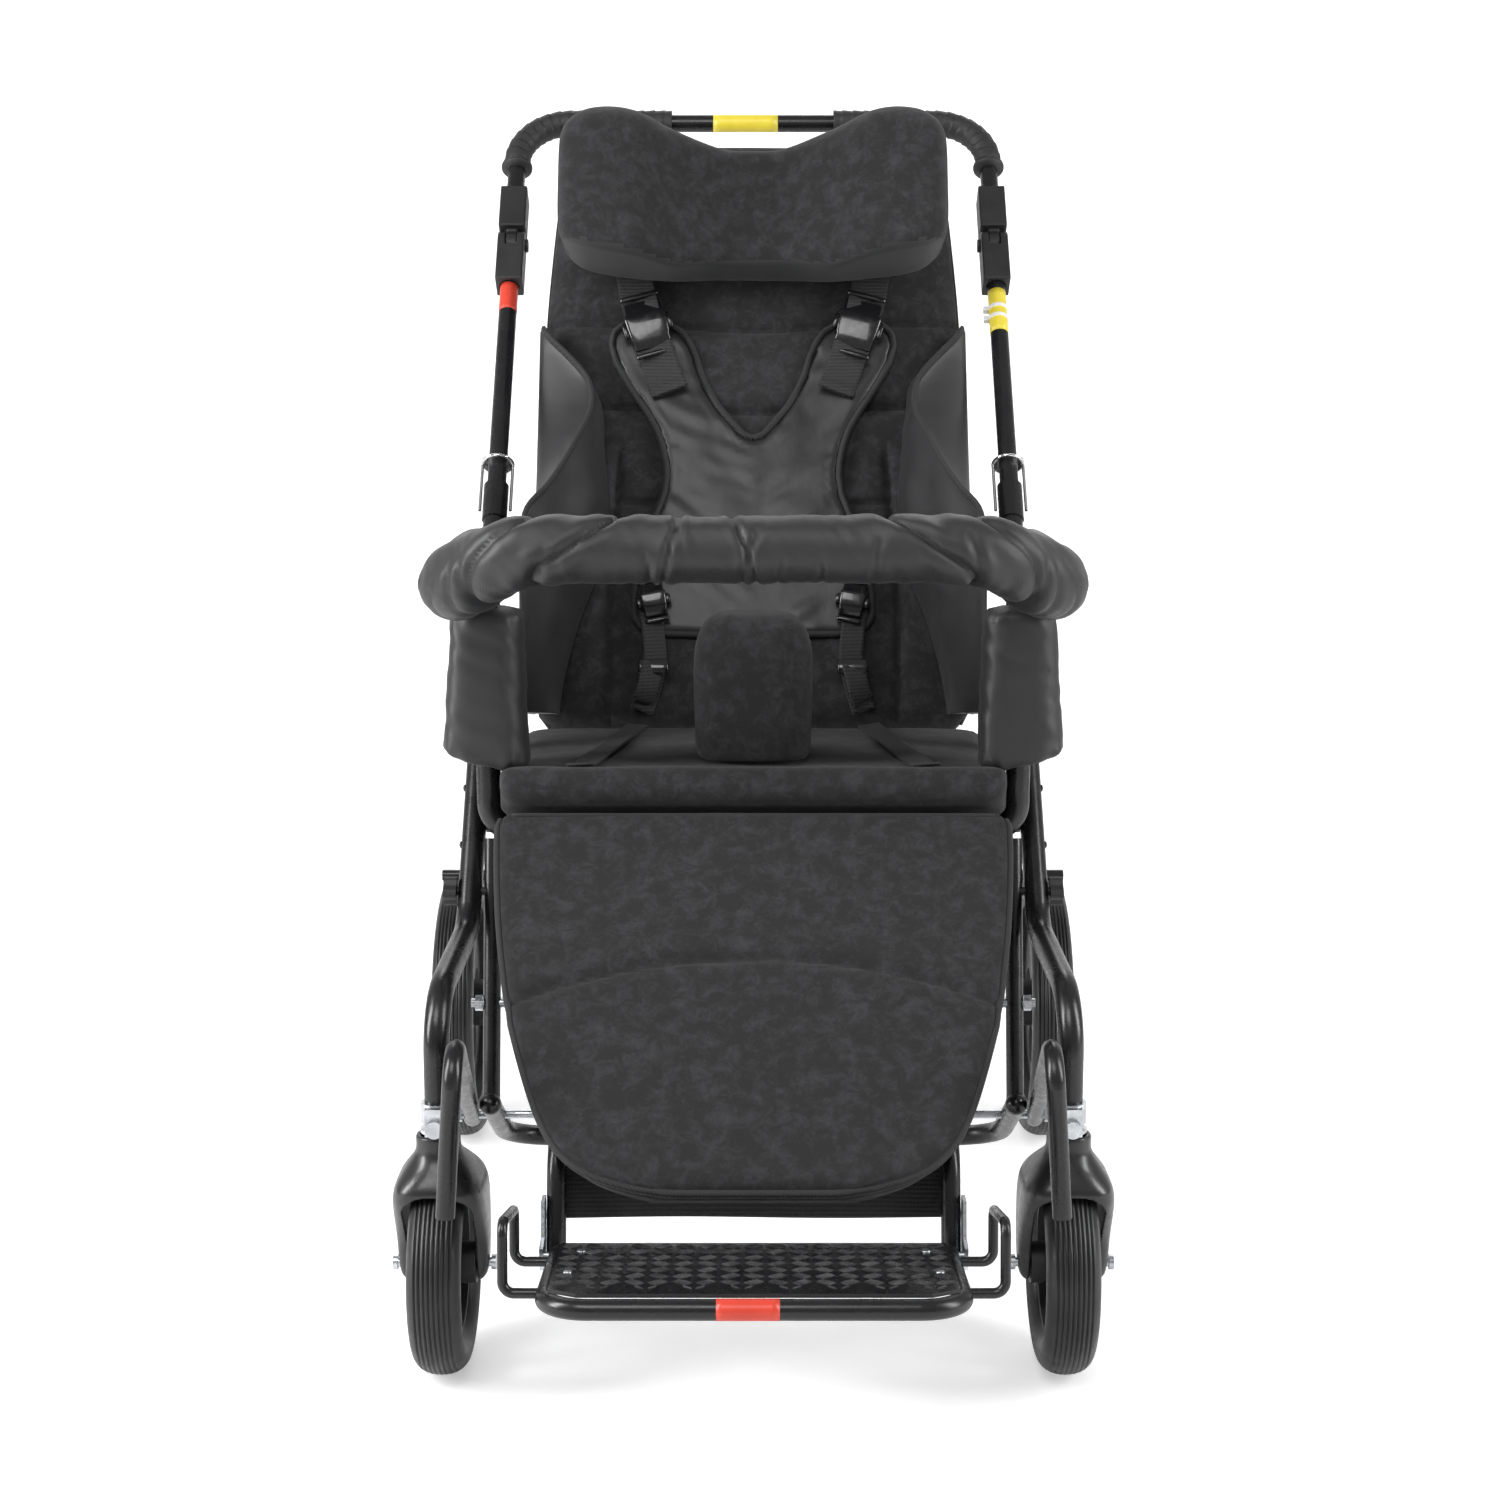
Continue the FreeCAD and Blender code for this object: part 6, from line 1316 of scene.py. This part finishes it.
tint(bar_highlight_paint, surface_noise(bar_highlight_paint, 90, 4), (0.035, 0.035, 0.037), (0.10, 0.10, 0.103), 0.35, 0.7)
bars = mesh_piece("tread_bars", verts, faces, bar_highlight_paint, False)
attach(bars, "footplate")


def hoop(middle, axis, radius, steps):
    """A ring of points round an axis."""
    one = axis.orthogonal().normalized()
    two = axis.cross(one)
    return [middle + (one * c + two * s) * radius for c, s in circle(steps)]


def dome(name, centre, axis, radius, tall, mat):
    """A round rivet head or cap: a low dome on a short edge, standing along an axis."""
    axis = Vector(axis).normalized()
    turns = [math.pi / 2 * k / 6 for k in range(1, 6)]
    rows = [(1.0, -0.2), (1.0, 0.25)] + [(math.cos(a), 0.25 + 0.75 * math.sin(a)) for a in turns]
    rows.append((0.05, 1.0))
    rings = [hoop(Vector(centre) + axis * (tall * h), axis, radius * r, 24) for r, h in rows]
    return loft(name, rings, mat)


plate_up = on_plate(0, 0, 1) - on_plate(0, 0, 0)
for side, sign in SIDES:
    for n, (x, back) in enumerate(((136, -32), (142, -95))):
        spot = on_plate(sign * x, back, TREAD_TOP)
        rivet = dome(f"tread_rivet_{side}_{n}", spot, plate_up, 3.6, 1.9, zinc)
        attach(rivet, "footplate")

# Tapes, labels and ties
# Plain printed vinyl wrapped round the tubes: yellow on the crossbar and the right handle leg,
# red on the left leg and the footplate. Two white nylon ties hold the yellow label.
yellow = finish("yellow_vinyl", (0.75, 0.60, 0.05), 0.35)
tint(yellow, surface_noise(yellow, 45), (0.70, 0.56, 0.045), (0.78, 0.64, 0.06))
red = finish("red_vinyl", (0.66, 0.055, 0.03), 0.35)
tint(red, surface_noise(red, 45), (0.60, 0.048, 0.025), (0.70, 0.062, 0.034))
white_nylon = finish("white_nylon", (0.78, 0.78, 0.76), 0.4)
relief(white_nylon, surface_noise(white_nylon, 900, 2), 0.0001, 0.3)
shine(white_nylon, surface_noise(white_nylon, 80), 0.34, 0.48)


def wrap(name, start, end, radius, thick, body, mat):
    """A closed skin of tape round a straight tube."""
    start, end = Vector(start), Vector(end)
    ahead = (end - start).normalized()
    rows = [(0, radius - 0.4)] + [(n / 8, radius + thick) for n in range(9)] + [(1, radius - 0.4)]
    piece = loft(name, [hoop(start.lerp(end, part), ahead, r, 40) for part, r in rows], mat)
    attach(piece, body)
    return piece


TUBE_R = 9.5
wrap("crossbar_label", (-44, 541.9, 1119.6), (28, 541.9, 1119.6), TUBE_R, 0.18, "handlebar", yellow)
left_tape = up_side(697, -HANDLE_X), up_side(732, -HANDLE_X)
wrap("left_leg_tape", *left_tape, TUBE_R, 0.18, "handle", red)
right_label = up_side(668, HANDLE_X), up_side(724, HANDLE_X)
wrap("right_leg_label", *right_label, TUBE_R, 0.18, "handle", yellow)
wrap("footplate_tape", on_plate(-28, -157, 0), on_plate(19, -157, 0), 8.0, 0.18, "footplate", red)
for n, reach in enumerate((688, 701)):
    ends = up_side(reach - 2, HANDLE_X), up_side(reach + 2, HANDLE_X)
    tie = wrap(f"cable_tie_{n}", *ends, TUBE_R + 0.1, 1.2, "handle", white_nylon)
    corners = [(a, b, c) for a in (-1, 1) for b in (-1, 1) for c in (-1, 1)]
    inner = HANDLE_X - TUBE_R - 3.4
    head = mesh_piece(
        f"cable_tie_head_{n}",
        [up_side(reach + c * 3, inner + a * 2.6, b * 3.2) for a, b, c in corners],
        [(0, 1, 3, 2), (4, 6, 7, 5), (0, 4, 5, 1), (2, 3, 7, 6), (0, 2, 6, 4), (1, 5, 7, 3)],
        white_nylon,
        False,
    )
    edge = head.modifiers.new("edge", "BEVEL")
    edge.width, edge.segments = 0.0006, 2
    head.parent = tie

# Rivets, caps and plugs
# Black domed rivets hold the tubes' inserts, and white plugs close the ends of the arm posts.
moulded_gloss = finish("glossy_black_plastic", (0.010, 0.010, 0.011), 0.22)
shine(moulded_gloss, surface_noise(moulded_gloss, 110), 0.16, 0.30)
for side, sign in SIDES:
    for n, reach in enumerate((62, 122, 214)):
        spot = up_side(reach, sign * 270.6)
        rivet = dome(f"tube_rivet_{side}_{n}", spot, (sign, 0, 0), 3.4, 2.4, moulded_gloss)
        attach(rivet, "frame")
    plug = dome(f"post_plug_{side}", (sign * 214.6, -60, 423), (-sign, 0, 0), 9.6, 3.0, white_nylon)
    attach(plug, "frame")
